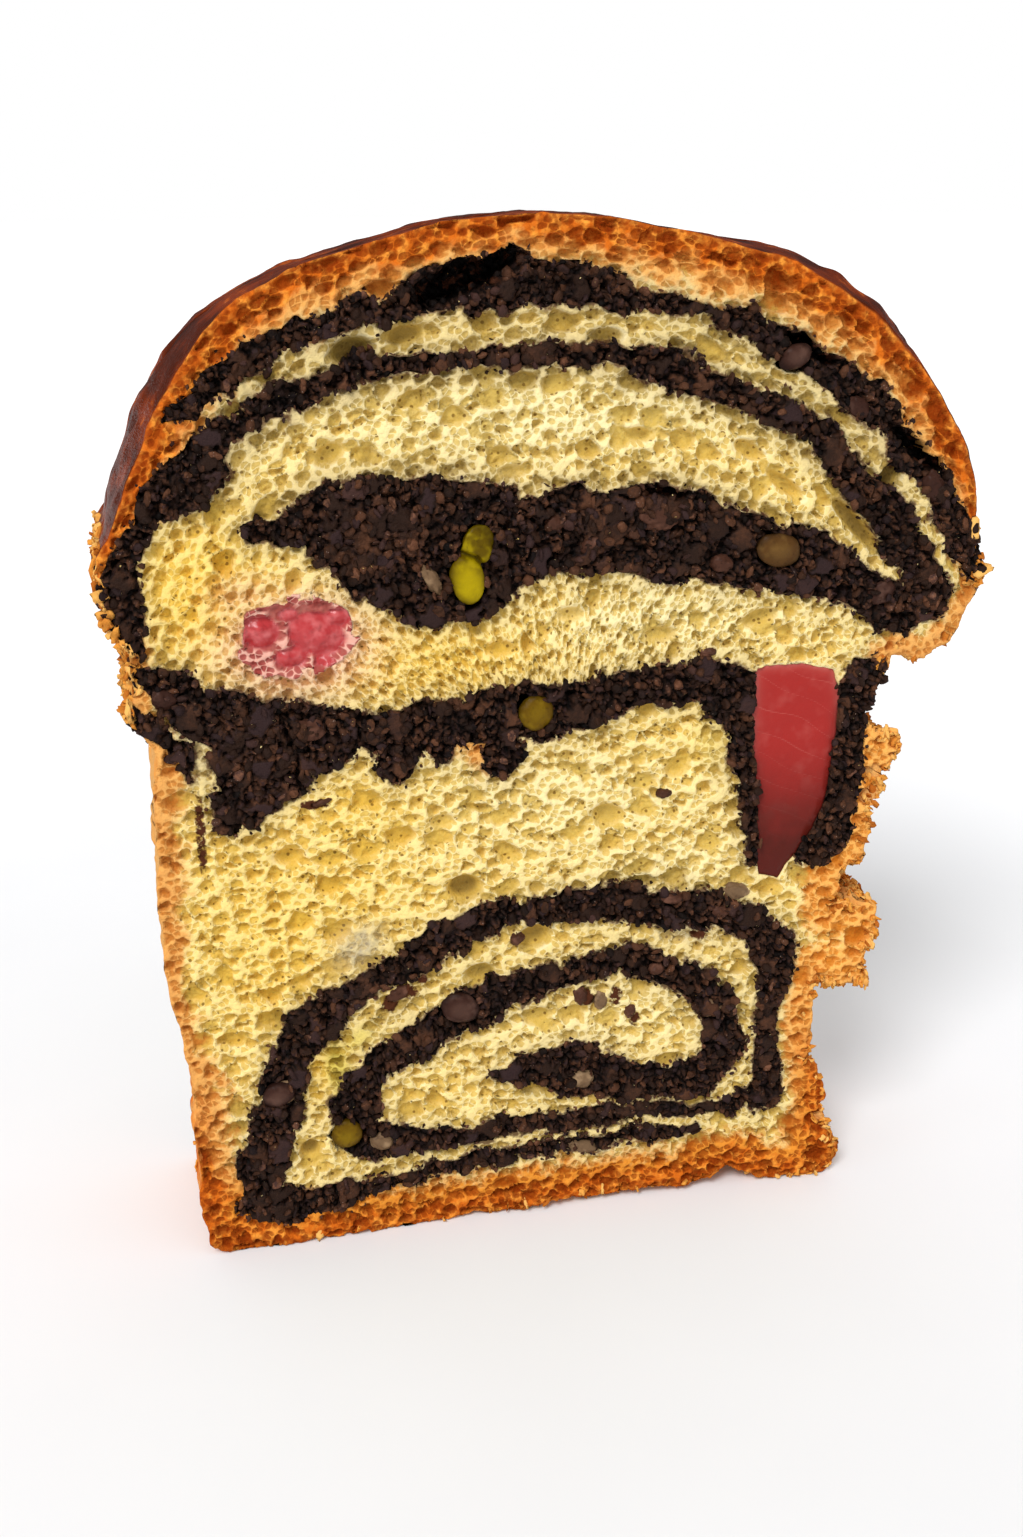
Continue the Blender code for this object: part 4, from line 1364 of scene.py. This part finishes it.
        # Painted shade in the crust's pores.
        crust = shader.mix(crust, self.dark_rust, sunk)
        crumb = shader.mix(crumb, crust, baked.between(0.45, 0.85) * brown)
        crumb = shader.mix(crumb, self.skin, (baked + fine * 0.3).between(1.0, 1.25) * 0.75 * brown)
        colour = shader.mix(crumb, self.outside(shader), skin.between(0.3, 0.9))
        shader.bump(shader.soft(0.45), 0.3, 0.9)
        rough = 0.9 - shader.tone("gloss") * skin * (0.42 + shader.soft(5.0) * 0.16)
        return shader.finish(base_color=colour, roughness=rough, specular_ior_level=0.08)

    def outside(self, shader: Shader) -> Value:
        """The browned outer skin: maroon on the dome, tan on the sides."""
        patches = shader.soft(7.0, 3.0)
        streaks = shader.soft(1.6)
        dome = shader.mix(self.skin_dark, self.skin, patches.between(0.35, 0.62))
        dome = shader.mix(dome, self.rust, (streaks * patches).between(0.28, 0.42) * 0.45)
        low = 1 - shader.place.parts()[2].between(10.0, 30.0)
        sides = shader.mix(self.side_skin, self.amber, patches.between(0.4, 0.75))
        sides = shader.mix(sides, self.rust, low * patches.between(0.3, 0.6))
        sides = shader.mix(sides, self.tan, streaks.between(0.45, 0.7) * 0.7)
        return shader.mix(sides, dome, shader.tone("gloss"))


@dataclass(frozen=True)
class FlakeFinish:
    """Torn flakes of crust or crumb, in three tones."""

    pale: Colour = (0.84, 0.46, 0.12)
    amber: Colour = (0.76, 0.31, 0.045)
    rust: Colour = (0.42, 0.105, 0.009)

    def material(self, name: str) -> bpy.types.Material:
        """Build the material."""
        shader = Shader(name)
        chunk, soft = shader.tone("chunk"), shader.soft(6.0)
        colour = shader.mix(self.pale, self.amber, chunk.between(0.1, 0.55))
        colour = shader.mix(colour, self.rust, (chunk + soft - 0.5).between(0.6, 0.95) * 0.9)
        shader.bump(shader.soft(0.4, 4.0), 0.2, 0.8)
        return shader.finish(base_color=colour, roughness=0.75, specular_ior_level=0.1)


@dataclass(frozen=True)
class CocoaFinish:
    """Near-black cocoa with brown and purple-grey lumps, painted shade in its gaps and caves, and painted
    glints.
    """

    dark: Colour = (0.023, 0.0095, 0.0052)
    brown: Colour = (0.108, 0.041, 0.019)
    light: Colour = (0.20, 0.085, 0.046)
    # Painted shade in the gaps between lumps and grains.
    gap: Colour = (0.003, 0.0014, 0.0010)
    plum: Colour = (0.034, 0.017, 0.018)
    # Painted highlights: small bright glints on the lighter grains, and their size.
    painted_glint: Colour = (0.42, 0.30, 0.24)
    glint_size: float = 0.5
    # Painted shade in the caves: the dim brown-red of their walls.
    cave_wall_shade: Colour = (0.075, 0.022, 0.009)

    def material(self) -> bpy.types.Material:
        """Build the material."""
        shader = Shader("cocoa_paste")
        chunk = shader.tone("chunk")
        fine = shader.soft(0.6, 3.0)
        large = shader.soft(3.0, 1.0)
        shade = chunk * 0.7 + fine * 0.4 + large * 0.75
        base = shader.mix(self.dark, self.brown, shade.between(0.68, 1.30))
        base = shader.mix(base, self.plum, (chunk * 7.0).math("FRACT").between(0.7, 0.8) * 0.7)
        base = shader.mix(base, self.light, (chunk + (fine - 0.5) * 0.5).between(0.90, 1.10))
        # Painted shade in the gaps, with some noise.
        gap = shader.tone("gap") * 1.3 + (0.5 - shader.soft(0.5)) * 0.8
        base = shader.mix(base, self.gap, gap.least(0.95))
        # Painted highlights: glints on the lighter grains.
        glints = 1 - shader.cells(shader.place, self.glint_size).between(0.05, 0.16)
        base = shader.mix(base, self.painted_glint, glints * chunk.between(0.5, 0.9) * 0.7)
        # Painted shade in the caves: near black, with dim brown-red walls.
        cave = shader.mix(self.gap, self.cave_wall_shade, shader.soft(1.8).between(0.54, 0.68))
        base = shader.mix(base, cave, shader.tone("named") / 3.0)
        shader.bump(shader.soft(0.35), 0.25, 0.9)
        rough = 0.45 + fine * 0.4
        return shader.finish(base_color=base, roughness=rough, specular_ior_level=0.12)


@dataclass(frozen=True)
class JellyFinish:
    """Rosy jelly, darker and browner towards the bottom and along its edges as painted shade, with a painted
    highlight on its top edge.
    """

    rosy: Colour = (0.35, 0.022, 0.018)
    light: Colour = (0.52, 0.13, 0.11)
    # Painted shade, towards the bottom and along the edges.
    deep: Colour = (0.085, 0.010, 0.006)

    def material(self, name: str) -> bpy.types.Material:
        """Build the material."""
        shader = Shader(name)
        soft = shader.soft(3.0)
        colour = shader.mix(self.rosy, self.light, soft.between(0.5, 0.8) * 0.25)
        colour = shader.mix(colour, self.light, shader.tone("line").between(0.95, 1.0) * 0.42)
        # Painted shade towards the bottom and painted shadow along the edges.
        colour = shader.mix(colour, self.deep, shader.tone("low") * (0.75 + soft * 0.5))
        colour = shader.mix(colour, self.deep, shader.tone("border") * 0.45)
        # Painted highlight along the top edge.
        colour = shader.mix(colour, self.light, shader.tone("bevel") * 0.75)
        shader.bump(shader.soft(1.2, 4.0), 0.25, 0.4)
        return shader.finish(
            base_color=colour, roughness=0.32, specular_ior_level=0.12, subsurface_weight=0.15,
            subsurface_radius=(1.0, 0.25, 0.2), subsurface_scale=1.5 * MM,
        )


@dataclass(frozen=True)
class MeltFinish:
    """Glossy pink lobes in pink-stained crumb, with painted shade in the crumb's pores."""

    foam: Foam = Foam()
    rosy: Colour = (0.45, 0.036, 0.040)
    light: Colour = (0.64, 0.15, 0.15)
    deep: Colour = (0.18, 0.010, 0.012)
    web: Colour = (0.76, 0.40, 0.31)
    # Painted shade in the stained crumb's pores.
    web_hollow: Colour = (0.34, 0.045, 0.035)

    def material(self) -> bpy.types.Material:
        """Build the material."""
        shader = Shader("jelly_left")
        (large, middle, small), _ = self.foam.layers(shader, shader.tone("flow", "Vector"))
        pit = large.most(middle).most(small)
        soft = shader.soft(2.0)
        # Painted shade in the pores, with some noise.
        web = shader.mix(self.web, self.web_hollow, pit * (0.6 + soft * 0.6))
        lobe = shader.mix(self.rosy, self.light, soft.between(0.40, 0.72) * 0.8)
        lobe = shader.mix(lobe, self.deep, shader.soft(1.1).between(0.5, 0.8) * 0.5)
        colour = shader.mix(web, lobe, shader.tone("smooth"))
        shader.bump(shader.soft(1.0, 4.0), 0.25, 0.5)
        rough = 0.75 - shader.tone("smooth") * 0.5
        return shader.finish(
            base_color=colour, roughness=rough, specular_ior_level=0.35, subsurface_weight=0.15,
            subsurface_radius=(1.0, 0.3, 0.25), subsurface_scale=1.2 * MM,
        )


@dataclass(frozen=True)
class FruitFinish:
    """The satin skin or cut flesh of a nut or dried fruit, with painted shade and a painted highlight where
    they are stored.
    """

    body: Colour
    light: Colour
    dark: Colour
    roughness: float = 0.38

    def material(self, name: str) -> bpy.types.Material:
        """Build the material."""
        shader = Shader(name)
        soft = shader.soft(2.2)
        fine = shader.soft(0.7, 4.0)
        colour = shader.mix(self.body, self.light, soft.between(0.45, 0.7) * 0.8)
        colour = shader.mix(colour, self.dark, fine.between(0.52, 0.8) * 0.7)
        # Painted highlight in the middle and painted shade at the rim of each cut face; on the split pistachio
        # these tones also carry its flesh and skin colours.
        colour = shader.mix(colour, self.light, shader.tone("bright") * 0.85)
        colour = shader.mix(colour, self.dark, shader.tone("shade") * 0.75)
        shader.bump(fine, 0.2, 0.6)
        return shader.finish(base_color=colour, roughness=self.roughness, specular_ior_level=0.06)


def voxel_copy(node: bpy.types.Object, name: str, voxel: float) -> bpy.types.Object:
    """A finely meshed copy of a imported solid."""
    mesh = node.data.copy()
    piece = bpy.data.objects.new(name, mesh)
    bpy.context.scene.collection.objects.link(piece)
    edit = bmesh.new()
    edit.from_mesh(mesh)
    bmesh.ops.remove_doubles(edit, verts=edit.verts, dist=1e-6)
    edit.to_mesh(mesh)
    edit.free()
    remesh = piece.modifiers.new("fine", "REMESH")
    remesh.mode = "VOXEL"
    remesh.voxel_size = voxel * MM
    graph = bpy.context.evaluated_depsgraph_get()
    piece.data = bpy.data.meshes.new_from_object(piece.evaluated_get(graph))
    piece.modifiers.clear()
    return piece


def scattered(source: bpy.types.Object, name: str, rule: MeshRule) -> bpy.types.Object:
    """A new piece of the grains that a rule scatters over another piece."""
    piece = bpy.data.objects.new(name, source.data.copy())
    bpy.context.scene.collection.objects.link(piece)
    rule.apply(piece)
    piece.data.shade_smooth()
    return piece


def ride(piece: bpy.types.Object, slot: Slot, *nodes: str) -> None:
    """Hand a finished piece to the frame."""
    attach(piece, BODY)
    if nodes:
        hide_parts(*nodes)
    faces = sum(len(polygon.vertices) - 2 for polygon in piece.data.polygons)
    LOG.info("%s: %d triangles", piece.name, faces)


@dataclass
class Doughs:
    """The two doughs, each as a front and a back half."""

    plans: dict[Side, Plan]
    paste: bpy.types.Material
    skin_wave: float = 0.25

    def build(self) -> None:
        """Make the four pieces, with crumbs of cocoa stuck along their cut edges."""
        rule = CrumbRule().tree(CrumbFinish().material())
        crumbs = GrainRule(0.12, 0.55, 0.9, fineness=1)
        crumbs = crumbs.tree("cocoa_crumb_rule", "stain", 0.2, 0.9, self.paste)
        flakes = GrainRule(0.2, 0.85, 0.65, 0.35, 0.55, 1.35, True)
        flakes = flakes.tree("flake_rule", "torn", 0.1, 0.9, FlakeFinish().material("crust_flakes"))
        for side, cell in ((Side.FRONT, FRONT_CELL), (Side.BACK, BACK_CELL)):
            for node, arched, seed in (("upper_dough", True, 100), ("lower_dough", False, 300)):
                builder = PieceBuilder(self.plans[side], node, cell)
                crumb = Crumb(arched, seed + 50 * (side is Side.BACK))
                name = f"{node}_{side.name.lower()}"
                piece = builder.build(name, crumb.sunk(builder), crumb.tones(builder), self.skin_wave)
                rule.apply(piece, Inward=-side.value)
                ride(piece, Slot.CRUMB, node)
                ride(scattered(piece, f"cocoa_crumbs_{name}", crumbs), Slot.COCOA)
                ride(scattered(piece, f"crust_flakes_{name}", flakes), Slot.CRUMB)


@dataclass
class Fillings:
    """The cocoa layers and the jellied sweets."""

    plans: dict[Side, Plan]
    paste: bpy.types.Material
    caves: tuple[Patch, ...] = (
        Patch(-9.0, 129.8, 7.2, 2.3, 5.5, 24), Patch(34.5, 120.4, 4.6, 1.2, 3.6, -31),
        Patch(50.2, 107.4, 4.8, 1.2, 3.6, -33), Patch(16.0, 103.4, 3.6, 0.8, 2.6, -3),
    )

    cave_edge: float = 4.0
    cave_tear: tuple[float, float] = (0.5, 2.0)
    paste_rest: float = 0.12
    paste_wall: tuple[float, float] = (-0.7, 0.5)
    even_edge: float = 2.0
    peel_out: tuple[float, float] = (44.0, 47.0)
    peel_foot: tuple[float, float] = (76.0, 80.0)
    peel_top: tuple[float, float] = (104.0, 108.0)
    peel_inland: tuple[float, float] = (0.2, 0.9)
    jelly_rest: float = 0.15
    jelly_line: float = 0.04
    jelly_round: tuple[float, float] = (0.5, 0.5)
    jelly_wall: tuple[float, float] = (-0.3, 0.8)
    jelly_upper: tuple[float, float] = (52.0, 62.0)
    jelly_upper_lean: float = 0.35
    # Painted shade: heights over which the firm sweet darkens towards the bottom, and the reach of the painted
    # shadow along its edges and how much less it is at the top.
    jelly_low: tuple[float, float] = (-70.0, -52.0)
    jelly_border: float = 0.9
    jelly_border_less: float = 0.8
    # How far the painted highlight on the sweet's top edge reaches.
    jelly_bevel: float = 0.5

    def build(self) -> None:
        """Make every filling, front and back."""
        paste = PasteRule().tree(self.paste)
        grains = GrainRule(0.25, 0.95, 0.32).tree("cocoa_grain_rule", "wall", 0.0, 0.3, self.paste)
        flecks = GrainRule(0.12, 0.42, 0.06, 0.35, 0.3, 2.4, fineness=1)
        flecks = flecks.tree("crumb_fleck_rule", "wall", 0.0, 0.2, FLECK.material("crumb_flecks"))
        sides = GrainRule(0.3, 0.95, 0.7, everywhere=True, fineness=1)
        sides = sides.tree("cocoa_side_rule", "skin", 0.5, 0.9, self.paste)
        peel = GrainRule(0.3, 1.2, 0.8, 0.35, 0.7, 1.5, True)
        peel = peel.tree("peel_rule", "peel", 0.2, 0.9, FlakeFinish().material("torn_peel"))
        firm = firm_jelly_rule(JellyFinish().material("jelly_right"))
        melted = melted_jelly_rule(MeltFinish().material())
        for side, cell in ((Side.FRONT, FRONT_CELL), (Side.BACK, BACK_CELL)):
            plan = self.plans[side]
            cocoa = sorted(name for name in plan.contours if name.startswith("cocoa"))
            for count, node in enumerate(cocoa):
                builder = PieceBuilder(plan, node, cell)
                piece = builder.build(f"{node}_{side.name.lower()}", *self.paste_face(builder, count))
                paste.apply(piece, Inward=-side.value)
                ride(piece, Slot.COCOA, node)
                ride(scattered(piece, f"grains_{piece.name}", grains), Slot.COCOA)
                ride(scattered(piece, f"flecks_{piece.name}", flecks), Slot.CRUMB)
                if len(plan.outer[node].start):
                    ride(scattered(piece, f"sides_{piece.name}", sides), Slot.COCOA)
                    if self.peel_share(builder).max() > 0.5:
                        ride(scattered(piece, f"peel_{piece.name}", peel), Slot.CRUMB)
            for node, rule in (("delight_right", firm), ("delight_left", melted)):
                builder = PieceBuilder(plan, node, cell)
                piece = builder.build(f"{node}_{side.name.lower()}", *self.jelly_face(builder))
                rule.apply(piece, Inward=-side.value)
                ride(piece, Slot.SWEET, node)

    def paste_face(self, builder: PieceBuilder, count: int) -> tuple[Array, dict[str, Array]]:
        """The cocoa's base depths and tones."""
        x, z = builder.x, builder.z
        cave = np.zeros_like(x)
        if builder.plan.side is Side.FRONT:
            reach, wave = self.cave_tear
            torn_x, torn_z = x + reach * noise(x, z, wave, 51), z + reach * noise(x, z, wave, 52)
            cave = np.maximum.reduce([one.weight(torn_x, torn_z, self.cave_edge) for one in self.caves])
        tones = {
            "flow": flow_places(x, z, False, 10 + count),
            "wall": smooth_step(np.minimum(builder.edge, builder.rim), *self.paste_wall),
            "named": cave,
            "peel": self.peel_share(builder),
            "even": total_weight(EVEN, x, z, self.even_edge),
        }
        return np.full_like(x, self.paste_rest), tones

    def peel_share(self, builder: PieceBuilder) -> Array:
        """Where torn skin still hangs on the cocoa: its outer edges at the dome's foot."""
        height = smooth_step(builder.z, *self.peel_foot) * (1 - smooth_step(builder.z, *self.peel_top))
        outer = 1 - smooth_step(builder.rim, *self.peel_inland)
        return outer * smooth_step(np.abs(builder.x), *self.peel_out) * height

    def jelly_face(self, builder: PieceBuilder) -> tuple[Array, dict[str, Array]]:
        """The sweet's base depths and tones, with the knife's fine lines."""
        x, z, edge = builder.x, builder.z, builder.edge
        lines = np.clip(np.sin((z * 0.9 + x * 0.42 + 0.8 * noise(x, z, 6.0, 903)) * 2.0), 0, 1)
        sunk = self.jelly_rest + self.jelly_line * lines**6 + rounding(edge, *self.jelly_round)
        sunk = np.where(x > 0, sunk, self.jelly_rest)
        upper = smooth_step(z - self.jelly_upper_lean * x, *self.jelly_upper)
        tones = {
            "flow": flow_places(x, z, False, 30),
            "wall": smooth_step(edge, *self.jelly_wall),
            # Painted shade towards the bottom.
            "low": smooth_step(-z, *self.jelly_low),
            "line": lines,
            # Painted shadow along the edges, less at the top.
            "border": np.exp(-edge / self.jelly_border) * (1 - self.jelly_border_less * upper),
            # Painted highlight along the top edge.
            "bevel": np.exp(-edge / self.jelly_bevel) * upper,
            "lobe": total_weight(LOBES, x, z),
        }
        return sunk, tones


FLECK = FlakeFinish((0.80, 0.62, 0.28), (0.62, 0.42, 0.14), (0.36, 0.16, 0.05))
GREEN = FruitFinish((0.125, 0.078, 0.001), (0.42, 0.31, 0.002), (0.040, 0.022, 0.001))
OLIVE = FruitFinish((0.115, 0.060, 0.002), (0.20, 0.12, 0.005), (0.04, 0.020, 0.001))
AMBER = FruitFinish((0.082, 0.036, 0.009), (0.15, 0.078, 0.020), (0.03, 0.014, 0.005))
PRUNE = FruitFinish((0.040, 0.016, 0.011), (0.10, 0.05, 0.036), (0.012, 0.005, 0.004))


@dataclass
class Fruits:
    """The nuts and dried fruit that the knife opened."""

    nodes: dict[str, bpy.types.Object]
    voxel: float = 0.16
    dome: float = 0.7
    smoothings: int = 14
    front: tuple[float, float] = (HALF_DEPTH - 1.5, HALF_DEPTH - 0.5)
    wrinkles: tuple[tuple[float, float], ...] = ((0.12, 1.4), (0.05, 0.6))
    # Where painted shade darkens the rim of each cut face, and the painted highlight in its middle.
    shaded: tuple[float, float] = (0.45, 1.1)
    shine: float = 0.6
    shining: tuple[float, float] = (0.0, 0.5)
    split_depth: float = 1.1
    split_width: float = 0.38
    split: tuple[tuple[float, float], ...] = ((-10.6, 97.0), (-8.4, 96.2), (-7.0, 94.7), (-6.6, 92.0))
    split_light: Patch = Patch(-9.3, 92.9, 1.9, 2.6, 1.0, 15)

    def build(self) -> None:
        """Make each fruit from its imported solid."""
        finishes = {
            "pistachio_split": (GREEN, Slot.PISTACHIO), "pistachio_middle": (OLIVE, Slot.PISTACHIO),
            "pistachio_lower": (OLIVE, Slot.PISTACHIO), "sultana": (AMBER, Slot.SULTANA),
            "raisin_upper": (PRUNE, Slot.RAISIN), "raisin_inner": (PRUNE, Slot.RAISIN),
            "raisin_left": (PRUNE, Slot.RAISIN),
        }
        for name, (finish, slot) in finishes.items():
            piece = voxel_copy(self.nodes[name], f"{name}_flesh", self.voxel)
            self.round_off(piece)
            piece.data.materials.clear()
            piece.data.materials.append(finish.material(name))
            piece.data.shade_smooth()
            ride(piece, slot, name)

    def round_off(self, piece: bpy.types.Object) -> None:
        """Round the cut edge, dome the cut face, then wrinkle the flesh a little, and store painted shade for
        the rim and a painted highlight for the middle.
        """
        edit = bmesh.new()
        edit.from_mesh(piece.data)
        every_axis = {f"use_axis_{axis}": True for axis in "xyz"}
        for _ in range(self.smoothings):
            bmesh.ops.smooth_vert(edit, verts=edit.verts, factor=0.5, **every_axis)
        edit.normal_update()
        places = np.array([vert.co for vert in edit.verts]) / MM
        middle, half = (places.max(0) + places.min(0)) / 2, (places.max(0) - places.min(0)) / 2
        out = ((places[:, 0] - middle[0]) / half[0]) ** 2 + ((places[:, 2] - middle[2]) / half[2]) ** 2
        front = smooth_step(-places[:, 1], *self.front)
        x, y, z = places.T
        (size, wave), (small, ripple) = self.wrinkles
        move = size * noise(x + y, z, wave, 61) + small * noise(x - y, z, ripple, 62)
        rise = self.dome * np.clip(1 - out, 0, 1) * front
        # Painted shade at the rim and a painted highlight in the middle of each cut face.
        shade = smooth_step(out, *self.shaded)
        bright = self.shine * (1 - smooth_step(out, *self.shining))
        if piece.name.startswith("pistachio_split"):
            # The split pistachio: its groove is sunk and gets painted shade; its bright front half and darker
            # back are the kernel's own colours.
            groove = self.groove(x + FACE_SHIFT, z)
            rise = rise - self.split_depth * groove * front
            bright = self.split_light.weight(x + FACE_SHIFT, z, 2.0)
            shade = np.maximum(np.maximum(shade, 0.4) * (1 - bright), groove)
        for vert, reach, lift in zip(edit.verts, move, rise):
            vert.co += vert.normal * float(reach) * MM
            vert.co.y -= float(lift) * MM
        edit.to_mesh(piece.data)
        edit.free()
        for name, values in (("shade", shade), ("bright", bright)):
            layer = piece.data.attributes.new(name, "FLOAT", "POINT")
            layer.data.foreach_set("value", values.astype(np.float32))

    def groove(self, x: Array, z: Array) -> Array:
        """The split between the halves of the upper pistachio, sunk and darkened with painted shade."""
        bends = np.array(self.split)
        gone = Contour(bends[:-1], bends[1:]).distance(np.stack([x, z], axis=1))[0]
        return np.exp(-((gone / self.split_width) ** 2))


NUT = FruitFinish((0.16, 0.095, 0.050), (0.34, 0.22, 0.12), (0.045, 0.022, 0.013))
CHIP = FruitFinish((0.065, 0.026, 0.016), (0.16, 0.07, 0.045), (0.014, 0.006, 0.004))
# Place, half sizes and lean of each small piece that lies at the cut.
NUTS = (
    (-22, 14.3, 1.7, 1.3, 0), (25.2, 29.3, 1.6, 1.3, 20), (6.5, 20.3, 1.7, 1.3, 0),
    (6.4, 9.2, 2.2, 1.1, -8), (-35.5, 23.7, 1.8, 1.7, 30), (9, 32.5, 1.0, 1.3, 0),
    (-13.8, 93.5, 0.9, 2.2, 30), (28, 47.2, 1.9, 1.2, -10),
)
CHIPS = (
    (17, 36.5, 1.2, 0.8, 20), (19, 47, 1.6, 0.9, 0), (26, 44.3, 1.3, 0.9, -20), (1.8, 100, 1.2, 1.0, 0),
    (6.5, 97, 1.4, 1.0, 40), (22.7, 82, 1.2, 0.7, 0), (6, 33.5, 1.0, 1.5, 10), (13.2, 30.5, 0.8, 1.2, -10),
    (-19.5, 36.8, 1.7, 0.9, 25), (-3, 43.2, 1.1, 0.8, 20), (-28.6, 65.4, 1.4, 0.5, 15),
    (17.2, 62.6, 1.0, 0.7, 0), (15.5, 100.5, 2.8, 2.2, 0), (34, 90.5, 1.5, 1.1, 20),
    (24, 93.5, 1.6, 1.2, -15), (-30, 75, 2.2, 1.6, 10),
)
RAISINS = (
    (41.5, 112.8, 1.7, 1.2, -40), (52.5, 102.3, 1.5, 2.0, 10), (46.5, 88.5, 2.0, 1.5, 20),
    (-47.5, 80.5, 1.6, 1.3, 0),
)


@dataclass
class Morsels:
    """Small nuts, chips and raisins too small to be solids of their own."""

    depth: float = 1.0
    behind: float = 0.75
    dents: float = 0.22

    def build(self) -> None:
        """Make one piece for each kind."""
        kinds = (("walnut_bits", NUTS, NUT, Slot.COCOA), ("chocolate_chips", CHIPS, CHIP, Slot.COCOA),
                 ("small_raisins", RAISINS, PRUNE, Slot.RAISIN))
        for name, morsels, finish, slot in kinds:
            edit = bmesh.new()
            for count, (x, z, half_x, half_z, lean) in enumerate(morsels):
                made = bmesh.ops.create_icosphere(edit, subdivisions=4, radius=1.0)["verts"]
                turn = Matrix.Rotation(math.radians(-lean), 3, "Y")
                for vert in made:
                    rough = smooth_noise.noise(vert.co * 1.6 + Vector((count * 7.0, 0, 0)))
                    rough += 0.5 * smooth_noise.noise(vert.co * 4.0 + Vector((0, count * 5.0, 0)))
                    place = vert.co * (1 + self.dents * rough)
                    place = turn @ Vector((place.x * half_x, place.y * self.depth, place.z * half_z))
                    vert.co = (place + Vector((x - FACE_SHIFT, self.behind - HALF_DEPTH, z))) * MM
            mesh = bpy.data.meshes.new(name)
            edit.to_mesh(mesh)
            edit.free()
            mesh.shade_smooth()
            mesh.materials.append(finish.material(name))
            piece = bpy.data.objects.new(name, mesh)
            bpy.context.scene.collection.objects.link(piece)
            ride(piece, slot)


@dataclass(frozen=True)
class Studio:
    """The pale floor, the soft lights and the camera."""

    camera_place: tuple[float, float, float] = (-50.58, -204.18 - HALF_DEPTH, 145.52)
    camera_aim: tuple[float, float, float] = (0.2092, 0.9143, -0.3469)
    lens: float = 40.29
    sensor: float = 36.0
    floor_half: float = 3000.0
    floor_drop: float = 0.2
    floor_near: Colour = (0.80, 0.805, 0.82)
    floor_soft: Colour = (0.84, 0.845, 0.86)
    floor_far: Colour = (0.97, 0.97, 0.97)
    floor_fade: tuple[float, float] = (140.0, 330.0)
    room_light: float = 0.74
    room_shine: float = 0.15
    key_light: float = 2.1
    key_aim: tuple[float, float, float] = (0.42, 0.62, -0.80)
    key_width: float = 22.0

    def build(self) -> None:
        """Make all of it."""
        self.floor()
        self.lights()
        self.camera()

    def floor(self) -> None:
        """A wide pale sheet on which the slice stands."""
        shader = Shader("pale_floor")
        reach = shader.vector("LENGTH", shader.place)
        reach = Value(shader, reach.socket.node.outputs["Value"])
        near = shader.mix(self.floor_near, self.floor_soft, shader.soft(45.0))
        colour = shader.mix(near, self.floor_far, reach.between(*self.floor_fade))
        material = shader.finish(base_color=colour, roughness=0.9, specular_ior_level=0.0)
        mesh = bpy.data.meshes.new("floor")
        half = self.floor_half * MM
        corners = [(-half, -half, 0), (half, -half, 0), (half, half, 0), (-half, half, 0)]
        mesh.from_pydata(corners, [], [(0, 1, 2, 3)])
        mesh.materials.append(material)
        floor = bpy.data.objects.new("floor", mesh)
        floor.location.z = -self.floor_drop * MM
        bpy.context.scene.collection.objects.link(floor)

    def lights(self) -> None:
        """A soft key from the upper left and a bright room."""
        key = bpy.data.lights.new("key_light", "SUN")
        key.energy = self.key_light
        key.angle = math.radians(self.key_width)
        lamp = bpy.data.objects.new("key_light", key)
        lamp.rotation_euler = Vector(self.key_aim).to_track_quat("-Z", "Y").to_euler()
        bpy.context.scene.collection.objects.link(lamp)
        world = bpy.data.worlds.new("bright_room")
        world.use_nodes = True
        graph = Graph(world.node_tree)
        background = world.node_tree.nodes["Background"]
        seen = graph.node("ShaderNodeLightPath", {}, {}, "Is Camera Ray")
        glossy = Value(graph, seen.socket.node.outputs["Is Glossy Ray"])
        strength = seen * (1.0 - self.room_light) + self.room_light
        strength = strength - glossy * (self.room_light - self.room_shine)
        graph.feed(background.inputs["Strength"], strength)
        background.inputs["Color"].default_value = (1, 1, 1, 1)
        bpy.context.scene.world = world
        bpy.context.scene.view_settings.view_transform = "Standard"

    def camera(self) -> None:
        """The camera, from above the slice's left side."""
        data = bpy.data.cameras.new("camera")
        data.lens = self.lens
        data.sensor_width = self.sensor
        data.clip_start = 0.01
        data.clip_end = 20
        camera = bpy.data.objects.new("camera", data)
        x, y, z = self.camera_place
        camera.location = ((x - FACE_SHIFT) * MM, y * MM, z * MM)
        camera.rotation_euler = Vector(self.camera_aim).to_track_quat("-Z", "Y").to_euler()
        bpy.context.scene.collection.objects.link(camera)
        bpy.context.scene.camera = camera


def main() -> None:
    """Build every piece in order."""
    logging.basicConfig(level=logging.INFO, format="%(message)s")
    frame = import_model()
    nodes = frame["nodes"]
    plans = {side: read_plan(nodes, side) for side in Side}
    paste = CocoaFinish().material()
    Doughs(plans, paste).build()
    Fillings(plans, paste).build()
    Fruits(nodes).build()
    Morsels().build()
    Studio().build()


if __name__ == "__main__":
    main()
